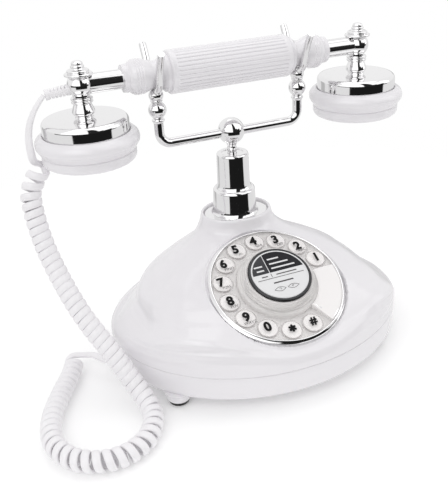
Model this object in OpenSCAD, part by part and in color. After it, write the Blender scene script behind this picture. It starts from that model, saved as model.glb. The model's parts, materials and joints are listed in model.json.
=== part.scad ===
// Cradle telephone: an oval base with a push-button dial, a chrome stem with a forked
// cradle, and a straight handset that lies across it on a curly cord.
// Frame: +X along the handset, -Y towards the user, +Z up, z = 0 on the table.

/* [Base] */
// Length of the base along the handset
base_length = 199; // [185:1:215]
// Depth of the base from front to back
base_depth = 164; // [150:1:178]
// Wall of the mouldings
wall = 2.6; // [2:0.1:3.2]
// Height of the joint between housing and bottom cover
seam_z = 25; // [22:0.5:27]
// Height of the neck rim
neck_z = 86; // [84:0.5:88]
// Height of the rubber feet
foot_h = 2.7; // [2:0.1:4]

/* [Dial] */
// Outer radius of the chrome bezel
bezel_r = 44.1; // [43:0.1:46]
// Tilt of the dial towards the user
dial_tilt = 25.4; // [22:0.1:29]
// Number of push buttons round the dial
button_count = 12; // [10:1:12]
// Radius of the circle of buttons
button_circle_r = 34.6; // [34.4:0.1:34.8]
// Radius of one button cap
button_r = 6.5; // [5.5:0.1:6.6]
// Angle from one button to the next
button_step = 24.2; // [24.1:0.05:24.5]
// Angle of the first button, from the dial's right
first_button = 18.5; // [17:0.5:20]
// Travel of a button
button_travel = 1.5; // [1:0.1:1.6]
// Radius of the redial button in the middle
redial_r = 20.2; // [19:0.1:20.6]

/* [Stem and cradle] */
// Bottom radius of the lower sleeve
lower_sleeve_r = 15.1; // [14:0.1:16]
// Height of the lower sleeve's top
lower_sleeve_top = 102; // [98:0.5:105]
// Height of the upper sleeve's top
upper_sleeve_top = 126.3; // [122:0.1:128]
// Radius of the plunger rod
rod_r = 3; // [2.5:0.1:3.5]
// Height of the cradle bar
bar_z = 140; // [138:0.5:142]
// Half the distance between the forks
fork_x = 48.2; // [47:0.1:49.5]
// Height of the handset when it lies in the forks
handset_z = 183.9; // [182:0.1:186]

/* [Handset] */
// Distance from the middle to each end post
post_x = 93.1; // [88:0.1:98]
// Radius of the fluted grip
grip_r = 13.2; // [12:0.1:14]
// Number of flutes round the grip
flutes = 32; // [20:1:40]
// Radius of the chrome crown on each capsule housing
crown_r = 26; // [24:0.5:28]
// Widest radius of the capsule housings
cup_r = 31; // [29:0.5:33]

/* [Cord] */
// Width of the flat cord
cord_w = 3.8; // [3:0.1:4]
// Thickness of the flat cord
cord_t = 2.4; // [2:0.1:2.6]
// Outer radius of the curls
curl_r = 6.6; // [6:0.1:7]
// Air between one curl and the next on the inside of a bend
curl_play = 0.8; // [0.6:0.05:1.2]

/* [Hidden] */

gap = 0.3;                       // air between pieces that move
fit = 0.05;                      // radial play of a running fit
stem_y = 27;                     // the stem stands behind the middle of the base
dial_y = -36.2;
dial_z = 57.9;
foot_boss_z = 8;                 // bottom of the bottom cover's shell
white = "whitesmoke";
chrome = "silver";
black = "#222222";
smooth_n = 72;                   // facets round the turned pieces

// ---- small helpers ------------------------------------------------------------------

function unit(v) = v / norm(v);
function mix(a, b, t) = a * (1 - t) + b * t;
function clamp01(t) = max(0, min(1, t));
function ease(t) = let (c = clamp01(t)) c * c * (3 - 2 * c);

// One point on the smooth curve through a list of points, at t = 0 to len - 1
function spline(p, t) =
    let (n = len(p),
         i = min(floor(t), n - 2),
         f = t - i,
         a = p[max(i - 1, 0)], b = p[i], c = p[i + 1], d = p[min(i + 2, n - 1)])
    b + f * (c - a) / 2 + f * f * (2 * a - 5 * b + 4 * c - d) / 2
      + f * f * f * (3 * b - a - 3 * c + d) / 2;

// A closed skin over rings of the same number of points
module skin(rings) {
    m = len(rings[0]);
    n = len(rings);
    polyhedron(
        points = [for (r = rings) each r],
        faces = concat(
            [[for (j = [0:m - 1]) j]],
            [for (i = [0:n - 2], j = [0:m - 1], h = [0, 1])
                let (a = i * m + j, b = i * m + (j + 1) % m)
                h == 0 ? [a, b + m, b] : [a, a + m, b + m]],
            [[for (j = [m - 1:-1:0]) (n - 1) * m + j]]));
}

module turned(profile) {
    rotate_extrude($fn = smooth_n) polygon(profile);
}

module at_stem() {
    translate([0, stem_y, 0]) children();
}

module at_dial() {
    translate([0, dial_y, dial_z]) rotate([dial_tilt, 0, 0]) children();
}

module at_handset_axis() {
    translate([0, stem_y, handset_z]) rotate([0, 90, 0]) children();
}

// An arc of points for a profile, from angle a to angle b about a centre
function arc(cx, cy, r, a, b, n = 6) =
    [for (i = [0:n]) let (w = mix(a, b, i / n)) [cx + r * cos(w), cy + r * sin(w)]];

// ---- base: the oval shell -----------------------------------------------------------

// Levels of the shell from the seam up to the neck rim: half length and height at the
// sides, front edge and its height, back edge and its height, squareness of the front
// (2 is an ellipse), middle of the widest line, the lift and dent that the level takes
// at the front corners, where the upper shape ends in a hem over a groove, its sag at
// the back corners, and how much the left side of the front stands above the right.
side_r = base_length / 2;
half_d = base_depth / 2;
levels = [
    [side_r,        seam_z, -half_d,       seam_z, half_d,        seam_z, 2,   0,    0,   0, 0, 0],
    [side_r - 0.2,  27.6,   -half_d + 0.1, 30,     half_d - 0.4,  29,     2,   0,    2,   0, 1.8, 0.8],
    [side_r - 1.2,  29.8,   -half_d + 0.5, 32.6,   half_d - 1.8,  33,     2.1, 0.5,  3.2, 0, 3.6, 1.4],
    [side_r - 2.8,  31.4,   -half_d + 1.6, 34.8,   half_d - 3.9,  36,     2.2, 1,    4.4, 0.5, 4.8, 1.8],
    [side_r - 4.5,  32.8,   -half_d + 3.3, 36.2,   half_d - 5.9,  38.2,   2.4, 1.5,  6,   1.5, 5.6, 2],
    [side_r - 5.5,  33.5,   -half_d + 4.2, 36.7,   half_d - 6.9,  39.4,   2.5, 1.8,  6.7, 3.4, 6.1, 2],
    [side_r - 6.3,  34.1,   -half_d + 5.1, 37.2,   half_d - 7.9,  40.5,   2.6, 2,    7.5, 2.6, 6.6, 2],
    [side_r - 7.3,  34.9,   -half_d + 5.9, 37.6,   half_d - 8.9,  41.8,   2.7, 2.3,  8.4, 1.4, 6.7, 2],
    [side_r - 9.5,  36.4,   -half_d + 7.2, 38.2,   half_d - 10.4, 43.5,   3,   2.8,  8.6, 1.4, 6.7, 2],
    [side_r - 13.5, 39,     -71,           39.9,   half_d - 12.1, 46.5,   3.5, 3.4,  7.6, 1, 6.2, 2],
    [side_r - 17,   41.4,   -66,           42.3,   half_d - 14,   49.5,   4,   4,    6,   0, 5.2, 2],
    [side_r - 19.6, 43.8,   -60,           45.1,   half_d - 15.4, 51.5,   4,   4.4,  5.2, 0, 3.8, 2],
    [side_r - 20.8, 46.2,   -54.5,         47.7,   half_d - 17,   53.5,   4,   4.8,  4,   0, 1.8, 2],
    [side_r - 23.6, 49.6,   -46.5,         51.5,   half_d - 19.4, 56,     4,   5.2,  2.4, 0, 0.8, 2],
    [side_r - 28.9, 53.6,   -37.5,         55.8,   half_d - 22.5, 59.2,   4,   5.8,  1,   0, 1, 1.8],
    [side_r - 35.5, 58.8,   -27,           60.7,   half_d - 25.8, 62.8,   4,   7.5,  0,   0, 1.6, 1.4],
    [side_r - 45,   63.4,   -15.5,         66.2,   half_d - 29,   66.4,   3.5, 11,   0,   0, 2, 0.8],
    [side_r - 55.2, 67,     -6,            70.6,   half_d - 31.6, 69.8,   3,   15,   0,   0, 2, 0.3],
    [side_r - 63.4, 70.2,   -0.2,          73.6,   half_d - 33.4, 72.8,   2.6, 18.5, 0,   0, 1.4, 0],
    [side_r - 69,   73.8,   3,             76,     half_d - 34.6, 75.6,   2.3, 22,   0,   0, 0.6, 0],
    [side_r - 72,   77,     4.4,           78.8,   half_d - 35.4, 78.6,   2,   24.2, 0,   0, 0, 0],
    [side_r - 74,   81,     5,             81.8,   half_d - 35.8, 81.8,   2,   25.4, 0,   0, 0, 0],
    [side_r - 74.9, 84.8,   5,             84.8,   half_d - 36,   84.8,   2,   25.5, 0,   0, 0, 0],
    [side_r - 75.6, neck_z, 5.8,           neck_z, half_d - 36.8, neck_z, 2,   25.5, 0,   0, 0, 0]];
inner_levels = [0, 3, 8, 10, 13, 15, 17, 19, 21];    // the cavity skips the hem

// How much of the lift and dent a direction takes: all of it at the front corners
function corner_share(w) = w <= 180 ? 0 :
    let (a = w < 270 ? w - 180 : 360 - w) ease(a / 55) * (1 - ease((a - 62) / 26));

// How much of the sag a direction takes: all of it at the back corners
function back_share(w) = w >= 180 ? 0 :
    let (a = min(w, 180 - w)) ease(a / 28) * (1 - ease((a - 50) / 35));

// How much higher a direction stands: 1 at the left of the front, -1 on the right
function lean_share(w) =
    w > 180 && w < 270 ? ease((w - 180) / 15) * (1 - ease((w - 215) / 40)) :
    w >= 270 ? -ease((w - 290) / 30) : ease((w - 5) / 35) - 1;

// The point of a level in direction w, drawn in by an inset for the inner face
function level_point(i, w, inset = 0) =
    let (l = levels[i],
         c = cos(w), s = sin(w),
         e = s < 0 ? 2 / l[6] : 1,
         corner = inset > 0 ? 0 : corner_share(w),
         a = l[0] - inset - l[9] * corner,
         d = (s < 0 ? l[7] - l[2] : l[4] - l[7]) - inset - l[9] * corner,
         drop = inset * ease((l[1] - seam_z) / 30))
    [a * sign(c) * pow(abs(c), e),
     l[7] + d * sign(s) * pow(abs(s), e),
     mix(s < 0 ? l[3] : l[5], l[1], c * c) + l[8] * corner - drop
         - l[10] * back_share(w) + l[11] * lean_share(w)];

function shell_ring(i, sides, inset = 0) =
    [for (j = [0:sides - 1]) level_point(i, 360 * j / sides, inset)];

module oval(a, front, back, z0, z1, sides = 48) {
    translate([0, 0, z0]) linear_extrude(z1 - z0)
        polygon([for (j = [0:sides - 1])
            let (w = 360 * j / sides, s = sin(w), c = (front + back) / 2, d = (back - front) / 2)
            [a * cos(w), c + d * s]]);
}

pocket_r = 42;
pocket_floor = -9.5;             // in the dial's own frame
bezel_seat = -1.5;

module base_housing() {
    outer_sides = 72;
    inner_sides = 48;
    color(white) difference() {
        union() {
            skin([for (i = [0:len(levels) - 1]) shell_ring(i, outer_sides)]);
            at_dial() turned([[0, -13], [bezel_r - 3, -13], [bezel_r + 3.6, -7.5],
                each arc(bezel_r + 5.2, bezel_seat, 4, 250, 180, 4), [0, bezel_seat]]);
        }
        difference() {
            translate([0, 0, -0.01])
                skin([for (i = inner_levels) shell_ring(i, inner_sides, wall)]);
            at_dial() translate([0, 0, pocket_floor - wall])
                cylinder(r = pocket_r + 1.6, h = 24, $fn = smooth_n);
            at_stem() translate([0, 0, sleeve_seat_z]) cylinder(r = 14, h = 40, $fn = 48);
        }
        at_dial() translate([0, 0, pocket_floor]) cylinder(r = pocket_r - 1.2, h = 20, $fn = smooth_n);
        at_dial() translate([0, 0, -2.6]) cylinder(r = pocket_r, h = 20, $fn = smooth_n);
        at_dial() translate([0, 0, bezel_seat]) cylinder(r = bezel_r + gap, h = 20, $fn = smooth_n);
        at_dial() translate([0, 0, -40]) cylinder(r = 8, h = 60, $fn = 32);
        oval(side_r - 77.5, 7.6, half_d - 38.8, 82.5, neck_z + 1);
        at_stem() translate([0, 0, -1]) cylinder(r = 11.3, h = 90, $fn = smooth_n);
        jack_openings();
    }
}

// Openings for the handset jack on the left and the line jack at the back
jack_z = 14.5;
handset_jack_y = -7;
line_jack_x = -30;

module jack_openings() {
    translate([-side_r - 5, handset_jack_y - 5.2, jack_z - 4.6]) cube([24, 10.4, 9.2]);
    translate([line_jack_x - 6.2, back_y(line_jack_x) - 18, jack_z - 4.6]) cube([12.4, 24, 9.2]);
}

// The bottom cover's outline follows the housing's first level
function pan_ring(z, grow, sides) =
    [for (j = [0:sides - 1])
        let (w = 360 * j / sides, depth = sin(w) < 0 ? -levels[0][2] : levels[0][4])
        [(side_r + grow) * cos(w), (depth + grow) * sin(w), z]];

foot_spots = [[-73.5, -46.2], [63, -48], [-68, 46], [68, 46]];
screw_spots = [[-40, -52], [40, -52], [-62, 28], [62, 28]];
switch_z = 16;
ringer_x = 24;
mode_x = 44;

module bottom_cover() {
    sides = 72;
    color(white) difference() {
        union() {
            difference() {
                skin([pan_ring(foot_boss_z, -2, sides), pan_ring(foot_boss_z + 1.2, -0.9, sides),
                      pan_ring(foot_boss_z + 4, -0.5, sides), pan_ring(seam_z - 0.05, 0, sides)]);
                skin([pan_ring(foot_boss_z + wall, -wall - 2, 48),
                      pan_ring(seam_z + 1, -wall, 48)]);
            }
            for (p = foot_spots) translate([p[0], p[1], foot_h]) {
                cylinder(r1 = 6.9, r2 = 7.3, h = foot_boss_z - foot_h + 1, $fn = 48);
            }
            for (p = screw_spots) translate([p[0], p[1], foot_boss_z + 1])
                cylinder(r = 4, h = 14, $fn = 32);
            for (x = [ringer_x, mode_x]) switch_block(x);
        }
        for (p = screw_spots) translate([p[0], p[1], foot_boss_z - 1])
            cylinder(r = 1.6, h = 20, $fn = 24);
        for (p = screw_spots) translate([p[0], p[1], foot_boss_z - 1])
            cylinder(r = 3.3, h = 4, $fn = 24);
        jack_openings();
        for (x = [ringer_x, mode_x]) switch_slot(x);
    }
}

// The two slide switches in the back wall: a knob in a slot, on a shoe in a pocket
knob = [4.4, 2.8];
shoe = [1.6, 5.2];
switch_travel = 5;
function back_y(x) = levels[0][4] * sqrt(1 - pow(x / side_r, 2));
function shoe_y(x) = back_y(x + switch_travel) - 5;

module switch_block(x) {
    translate([x - 7, shoe_y(x) - shoe[0] - 1.5, switch_z - 4.6]) cube([14, shoe[0] + 4.5, 9.2]);
}

module switch_slot(x) {
    translate([x - 5, shoe_y(x) - 0.1, switch_z - knob[1] / 2 - gap]) cube([10, 16, knob[1] + 2 * gap]);
    translate([x - 5, shoe_y(x) - shoe[0] - gap, switch_z - shoe[1] / 2 - gap])
        cube([10, shoe[0] + 2 * gap, shoe[1] + 2 * gap]);
}

module slide_switch(x) {
    color(black) translate([x - 4.7, shoe_y(x), switch_z - knob[1] / 2])
        cube([knob[0], 6.2, knob[1]]);
    color(black) translate([x - 4.7, shoe_y(x) - shoe[0], switch_z - shoe[1] / 2])
        cube([knob[0], shoe[0], shoe[1]]);
}

module ringer_switch() { slide_switch(ringer_x); }
module mode_switch() { slide_switch(mode_x); }

module rubber_feet() {
    color(black) for (p = foot_spots) translate([p[0], p[1], 0])
        turned([[0, 0], each arc(5.4, 1, 1, 270, 360, 3), [6.5, foot_h], [0, foot_h]]);
}

module cover_screws() {
    color(chrome) for (p = screw_spots) translate([p[0], p[1], foot_boss_z + 0.6]) difference() {
        union() {
            cylinder(r = 3, h = 2.2, $fn = 32);
            cylinder(r = 1.5, h = 13, $fn = 24);
        }
        for (w = [0, 90]) rotate(w) cube([3.6, 0.8, 1.6], center = true);
    }
}

// ---- stem ---------------------------------------------------------------------------

plate_z = 84.5;
sleeve_seat_z = 71;              // the upper sleeve's flange bears up against the housing here

module neck_plate() {
    color(chrome) difference() {
        oval(side_r - 77.7, 7.8, half_d - 39, 82.5, plate_z);
        at_stem() cylinder(r = 11.4, h = 90, $fn = smooth_n);
    }
}

module lower_sleeve() {
    top_r = lower_sleeve_r - 1.4;
    color(chrome) at_stem() turned([
        [11.4, plate_z], [lower_sleeve_r, plate_z],
        each arc(top_r - 1.6, lower_sleeve_top - 2.2, 1.9, 8, 78, 5),
        [12.4, lower_sleeve_top], [11.4, lower_sleeve_top - 0.5]]);
}

module upper_sleeve() {
    foot_z = sleeve_seat_z - 2;
    color(chrome) at_stem() difference() {
        turned([[0, foot_z], [14, foot_z], [14, sleeve_seat_z], [11.3, sleeve_seat_z],
            [11.3, lower_sleeve_top - 0.4],
            each arc(9.4, upper_sleeve_top - 1.2, 1.2, 0, 90, 4),
            [7.6, upper_sleeve_top], [7.2, upper_sleeve_top - 0.8], [0, upper_sleeve_top - 0.8]]);
        translate([0, 0, spring_foot]) cylinder(r = 9.4, h = upper_sleeve_top - spring_foot - 5, $fn = smooth_n);
        translate([0, 0, foot_z - 1]) cylinder(r = rod_r + fit, h = 80, $fn = smooth_n);
    }
}

// ---- plunger and cradle --------------------------------------------------------------

spring_top = 112;
spring_foot = 72;
rod_foot = 44;

module plunger_rod() {
    color(chrome) at_stem() turned([
        [0, rod_foot], [rod_r - 0.6, rod_foot], [rod_r, rod_foot + 0.6], [rod_r, spring_top],
        [8.6, spring_top], [8.6, spring_top + 1.6], [rod_r, spring_top + 1.6],
        [rod_r, upper_sleeve_top + 1.2], each arc(rod_r + 2.6, upper_sleeve_top + 4, 2.6, 200, 150, 4),
        [rod_r + 0.9, bar_z - 7], [0, bar_z - 7]]);
}

module cradle_ball() {
    r = 8.7;
    color(chrome) at_stem() difference() {
        translate([0, 0, bar_z + 0.6]) sphere(r = r, $fn = smooth_n);
        translate([0, 0, bar_z - 17]) cylinder(r = 6, h = 10, $fn = 48);
        translate([0, 0, bar_z]) rotate([0, 90, 0]) cylinder(r = bar_r, h = 40, center = true, $fn = 48);
    }
}

bar_r = 3;
bend_r = 7;
fork_foot_z = 154;

// A bar bent up at both ends
module cradle_bar() {
    color(chrome) at_stem() {
        translate([0, 0, bar_z]) rotate([0, 90, 0])
            cylinder(r = bar_r, h = 2 * (fork_x - bend_r), center = true, $fn = 48);
        for (m = [0, 1]) mirror([m, 0, 0]) translate([fork_x - bend_r, 0, bar_z + bend_r]) {
            rotate([90, 0, 0]) rotate(-90)
                rotate_extrude(angle = 90, $fn = 64) translate([bend_r, 0]) circle(r = bar_r, $fn = 48);
            translate([bend_r, 0, 0]) cylinder(r = bar_r, h = fork_foot_z - bar_z - bend_r, $fn = 48);
        }
    }
}

neck_r = 8;                       // of the handset's ferrules, where they rest
prong_r = 2.25;
prong_arc_r = neck_r + gap + prong_r + 0.1;
prong_turn = 75;                  // how far the prong follows the neck before it leans out
prong_flare_r = 54;
prong_steps = 12;
prong_step = 8;                   // degrees of bend from one ring to the next

// One turned foot with two balls, and a rod whose two prongs hold the neck between them
module fork(m) {
    top = handset_z - neck_r - gap;
    color(chrome) translate([m * fork_x, stem_y, 0]) {
        turned([[0, fork_foot_z], [3.3, fork_foot_z], each arc(3.1, 155.6, 0.9, -60, 60, 3),
            [3.2, 156.9], each arc(0, 162, 5.6, -60, 60, 8),
            [3.0, 167], each arc(3.0, 167.8, 0.8, -70, 70, 3),
            each arc(0, top - 4.5, 4.5, -50, 86, 8), [0, top]]);
        translate([0, 0, handset_z])
            skin([for (i = [prong_steps:-1:-prong_steps]) prong_ring(prong_step * i)]);
    }
}

// The rod's line bends round the neck up to prong_turn, then back the other way
function prong_heading(a) = a <= prong_turn ? a : 2 * prong_turn - a;
function prong_place(a) =
    let (h = prong_heading(a), t = min(a, prong_turn))
    prong_arc_r * [sin(t), -cos(t)] + prong_flare_r * [sin(t) - sin(h), cos(h) - cos(t)];
function prong_ring(a) =
    let (m = sign(a), h = prong_heading(abs(a)), p = prong_place(abs(a)))
    [for (v = [0:30:330])
        [prong_r * cos(v), m * (p[0] - prong_r * sin(v) * sin(h)), p[1] + prong_r * sin(v) * cos(h)]];

module left_fork() { fork(-1); }
module right_fork() { fork(1); }

module hook_spring() {
    turns = 7;
    steps = 8;
    wire = 0.7;
    r = 7;
    low = spring_foot + wire;
    high = spring_top - wire;
    color(chrome) at_stem() skin([for (i = [0:turns * steps])
        let (w = 360 * i / steps,
             z = mix(low, high, ease(i / turns / steps) * 0.15 + i / turns / steps * 0.85))
        [for (j = [0:5]) let (v = 360 * j / 6)
            [(r + wire * cos(v)) * cos(w), (r + wire * cos(v)) * sin(w), z + wire * sin(v)]]]);
}

// ---- works in the base --------------------------------------------------------------

module hook_switch() {
    color("gold") at_stem() difference() {
        translate([-9, -7, board_z + 1.6]) cube([18, 14, 10]);
        translate([0, 0, 39]) cylinder(r = 3.8, h = 10, $fn = 32);
    }
    color(black) at_stem() translate([0, 0, 39]) cylinder(r = 3.4, h = rod_foot - gap - 39, $fn = 32);
}

board_z = 31;

module main_board() {
    color("darkgreen") difference() {
        translate([-55, 2, board_z]) cube([110, 52, 1.6]);
        for (x = [-48, 48], y = [9, 47]) translate([x, y, board_z - 1]) cylinder(r = 1.7, h = 4, $fn = 24);
    }
    color(black) for (p = [[-30, 18], [26, 14], [-22, 40], [30, 38]])
        translate([p[0], p[1], board_z + 1.6]) cube([14, 9, 3]);
    color(white) for (x = [-48, 48], y = [9, 47]) translate([x, y, foot_boss_z + wall]) difference() {
        cylinder(r = 3.4, h = board_z - foot_boss_z - wall, $fn = 32);
        translate([0, 0, 12]) cylinder(r = 1.4, h = 20, $fn = 24);
    }
}

module ringer_speaker() {
    color(black) translate([-16, -44, foot_boss_z + wall]) difference() {
        union() {
            cylinder(r = 20, h = 3, $fn = smooth_n);
            cylinder(r1 = 19, r2 = 11, h = 9, $fn = smooth_n);
            cylinder(r = 11, h = 14, $fn = smooth_n);
        }
        translate([0, 0, -1]) cylinder(r1 = 17.5, r2 = 8, h = 8, $fn = smooth_n);
    }
}

module ballast_weight() {
    color("dimgray") translate([44, -18, foot_boss_z + wall]) difference() {
        translate([-22, -26, 0]) cube([44, 40, 8]);
        for (x = [-16, 16]) translate([x, -6, -1]) cylinder(r = 2, h = 12, $fn = 24);
    }
}

module jack(width) {
    depth = 15;
    difference() {
        translate([-width / 2 - 1, 0, -4.4]) cube([width + 2, depth, 8.8]);
        translate([-width / 2 + 0.6, -1, -2.9]) cube([width - 1.2, depth - 2, 5.8]);
        translate([-1.6, -1, -3.9]) cube([3.2, depth - 2, 2]);
    }
}

module handset_jack() {
    color("lightgray") translate([-side_r + 3, handset_jack_y, jack_z]) rotate(-90) jack(8);
}

module line_jack() {
    color(black) translate([line_jack_x, back_y(line_jack_x) - 2, jack_z]) rotate(180) jack(10);
}

// ---- dial ---------------------------------------------------------------------------

plate_top = -1.2;
wheel_top = 0.5;
collar_r = 26;
function button_angle(i) = first_button + button_step * (i - 1);

module at_button(i) {
    at_dial() rotate(button_angle(i)) translate([button_circle_r, 0, 0]) children();
}

module dial_bezel() {
    color(chrome) at_dial() turned([[pocket_r - 0.4, bezel_seat], [bezel_r, bezel_seat],
        each arc(bezel_r - 1.3, 0.7, 1.3, 0, 90, 5), [pocket_r - 0.4, 0.9]]);
}

module dial_plate() {
    color("gainsboro") difference() {
        at_dial() translate([0, 0, -2.6]) cylinder(r = pocket_r - 0.45, h = plate_top + 2.6, $fn = smooth_n);
        for (i = [1:button_count]) at_button(i) translate([0, 0, -5]) cylinder(r = 3.3, h = 8, $fn = 32);
        at_dial() translate([0, 0, -5]) cylinder(r = 10.4, h = 8, $fn = 48);
    }
}

// The clear wheel: a ring with one hole for each button
module number_wheel() {
    color("white", 0.5) difference() {
        at_dial() rotate_extrude(start = stop_to + 0.4, angle = 356 - stop_to + stop_from, $fn = smooth_n)
            translate([collar_r, plate_top]) square([pocket_r - 0.5 - collar_r, wheel_top - plate_top]);
        for (i = [1:button_count]) at_button(i) translate([0, 0, -3])
            cylinder(r = button_r + gap, h = 8, $fn = 48);
    }
}

stop_from = -57;                 // angles of the crescent and finger stop
stop_to = 4;

// The crescent plate between the last and the first button, with the chrome stop edge
module finger_stop() {
    r = pocket_r - 0.5;
    color("white") difference() {
        at_dial() translate([0, 0, plate_top]) rotate_extrude(angle = stop_to - stop_from, start = stop_from,
            $fn = smooth_n) polygon([[collar_r, 0], [r, 0], [r, 2.4], [r - 1, 3.2],
                [collar_r + 1, 4.4], [collar_r, 4.0]]);
        at_button(1) translate([0, 0, -3]) cylinder(r = button_r + gap + 0.2, h = 12, $fn = 48);
    }
    color(chrome) at_dial() translate([0, 0, plate_top]) rotate(stop_from)
        translate([collar_r, 0, 0]) rotate([90, 0, 0])
            linear_extrude(1.2) polygon([[0, 0], [r - collar_r, 0], [r - collar_r, 3.2], [1, 5], [0, 5]]);
}

module dial_collar() {
    color("white", 0.5) at_dial() turned([[redial_r + gap, plate_top], [collar_r - fit, plate_top],
        [collar_r - fit, 2.6], each arc(collar_r - fit - 1.4, 2.8, 1.4, 0, 80, 3), [23.9, 4.4],
        [23.4, 6.8], [22.2, 7.4], [22.0, 9.4], [redial_r + gap + 0.4, 10.0], [redial_r + gap, 9.6]]);
}

module number_button(i) {
    color("white", 0.6) at_button(i) turned([[0, -4.4], [2.9, -4.4], [2.9, 0.9],
        [button_r, 0.9], each arc(button_r - 0.9, 1.8, 0.9, 0, 90, 3), [0, 2.9]]);
}

module redial_button() {
    color(chrome) at_dial() turned([[0, -4.4], [9.9, -4.4], [9.9, 0.7], [redial_r, 0.7],
        each arc(redial_r - 0.9, 10.3, 0.9, 0, 80, 4), [18.5, 11.2], [18.3, 10.6], [0, 10.6]]);
}

module redial_label() {
    color("white") at_dial() translate([0, 0, 10.6]) cylinder(r = 18.2, h = 0.5, $fn = smooth_n);
}

module key_board() {
    color("darkgreen") at_dial() translate([0, 0, pocket_floor]) difference() {
        cylinder(r = 40.4, h = 1.6, $fn = smooth_n);
        translate([0, 0, -1]) cylinder(r = 5, h = 4, $fn = 32);
    }
}

module key_mat() {
    mat_z = pocket_floor + 1.6;
    color("gray") {
        at_dial() translate([0, 0, mat_z]) cylinder(r = 40, h = 1, $fn = smooth_n);
        for (i = [1:button_count]) at_button(i) translate([0, 0, mat_z + 0.9])
            cylinder(r1 = 3.6, r2 = 2.4, h = 0.8, $fn = 24);
        at_dial() translate([0, 0, mat_z + 0.9]) cylinder(r1 = 6, r2 = 5, h = 0.8, $fn = 24);
    }
}

// ---- handset ------------------------------------------------------------------------

grip_half = 40;
tube_r = 5.75;

module handset_grip() {
    band = 4;                    // plain band at each end
    n = flutes * 4;
    color(white) at_handset_axis() difference() {
        union() {
            for (m = [0, 1]) mirror([0, 0, m]) translate([0, 0, grip_half - band])
                turned([[0, 0], [grip_r, 0], each arc(grip_r - 1, band - 1, 1, 0, 90, 4), [0, band]]);
            translate([0, 0, band - grip_half]) linear_extrude(2 * (grip_half - band))
                polygon([for (j = [0:n - 1]) let (w = 360 * j / n)
                    (grip_r - 0.05 - (j % 4 == 0 ? 0.55 : 0)) * [cos(w), sin(w)]]);
        }
        cylinder(r = 4, h = 200, center = true, $fn = 48);
    }
}

module handset_ferrules() {
    color(white) at_handset_axis() for (m = [0, 1]) mirror([0, 0, m]) turned([
        [4, grip_half], [11.4, grip_half], each arc(10.4, 41.6, 1.2, -20, 60, 3),
        [9.0, 44.6], each arc(16.4, 48.6, 8.4, 200, 168, 4),
        [neck_r + 1.2, 52.6], [9.9, 54.6], [10.5, 56.4], [10.1, 57.2], [10.6, 58], [10.2, 58.8],
        [10.7, 59.6], [10.2, 60.4], [10.5, 61.2], [9.4, 63.2], [8.2, 64.6], [8.4, 65.4],
        [8.1, 68], [tube_r, 68], [tube_r, 60], [4, 60]]);
}

module handset_tubes() {
    reach = post_x - 5;
    color(chrome) at_handset_axis() for (m = [0, 1]) mirror([0, 0, m]) translate([0, 0, 60])
        difference() {
            cylinder(r = tube_r, h = reach - 60, $fn = smooth_n);
            translate([0, 0, -1]) cylinder(r = tube_r - 1, h = reach - 58, $fn = 48);
        }
}

crown_z = 165;

// The turned post with its knob; the tube enters its round body
module post(m) {
    z = handset_z;
    c = crown_z;
    color(chrome) translate([m * post_x, stem_y, 0]) difference() {
        turned([[0, c], [5.6, c], [5.4, c + 1], [6.8, c + 2.8], [6.4, c + 5], [5.2, c + 8],
            [5.4, c + 8.6], each arc(5.6, c + 9.4, 0.9, -50, 60, 3), [5.9, c + 10.3],
            each arc(5.7, c + 11.2, 0.9, -60, 60, 3), [5.1, c + 12.3],
            each arc(0, z, 7.5, -48, 52, 8), [4.9, z + 6.2],
            [8.3, z + 6], [8.3, z + 6.7], [6.4, z + 8.2], [5.2, z + 9],
            [4.6, z + 9.4], [4.9, z + 10.2], [4.2, z + 11], [4, z + 12.2],
            [3, z + 13.4], [0, z + 13.9]]);
        translate([-m * 20, 0, z]) rotate([0, 90 * m, 0]) cylinder(r = tube_r, h = 15, $fn = smooth_n);
        if (m < 0) translate([post_x, -stem_y, 0]) at_relief() translate([0, 0, -relief_depth])
            cylinder(r = relief_r, h = 20, $fn = 48);
    }
}

module left_post() { post(-1); }
module right_post() { post(1); }

module crown(m) {
    color(chrome) translate([m * post_x, stem_y, 0]) turned([
        [0, 155], [crown_r, 155], [crown_r, crown_z - 1.6],
        each arc(crown_r - 1.6, crown_z - 1.6, 1.6, 0, 90, 4), [0, crown_z]]);
}

cup_top = 156.6;
cup_mid = 150.2;
cup_low = 145;

// The white housing under the crown: a hollow turned cup, open below for the capsule
module cup(m) {
    color(white) translate([m * post_x, stem_y, 0]) turned([
        [0, 152.6], [0, 155], [crown_r + 0.3, 155], [crown_r + 0.3, cup_top - 0.4],
        [crown_r + 0.9, cup_top], each arc(cup_r - 4.6, cup_mid + 1, 5, 70, 0, 6),
        [cup_r + 0.2, cup_mid - 0.6], [cup_r - 0.6, cup_mid - 2], [28.4, cup_low + 0.2], [27.8, cup_low],
        [25, cup_low], [25, 152.6]]);
}

cap_bottom = 138.2;
hole_rings = [[0, 1], [4, 6], [8, 10]];

// The screwed cap that closes the cup, with the sound holes
module cap(m) {
    color(white) translate([m * post_x, stem_y, 0]) difference() {
        turned([[0, cap_bottom], [25.4, cap_bottom], each arc(25.4, cap_bottom + 3.2, 3.2, -90, 0, 5),
            [28.6, cup_low - 0.8], [27.8, cup_low], [24.9, cup_low], [24.9, cap_bottom + 2.4],
            [0, cap_bottom + 2.4]]);
        for (h = hole_rings, k = [0:h[1] - 1]) rotate(360 * k / h[1])
            translate([h[0], 0, cap_bottom - 1]) cylinder(r = 0.9, h = 5, $fn = 16);
    }
}

module capsule(m, r, h) {
    color("darkgray") translate([m * post_x, stem_y, cap_bottom + 2.4])
        turned([[0, 0], [r, 0], [r, h * 0.6], [r * 0.7, h * 0.6], [r * 0.7, h], [0, h]]);
}

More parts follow.
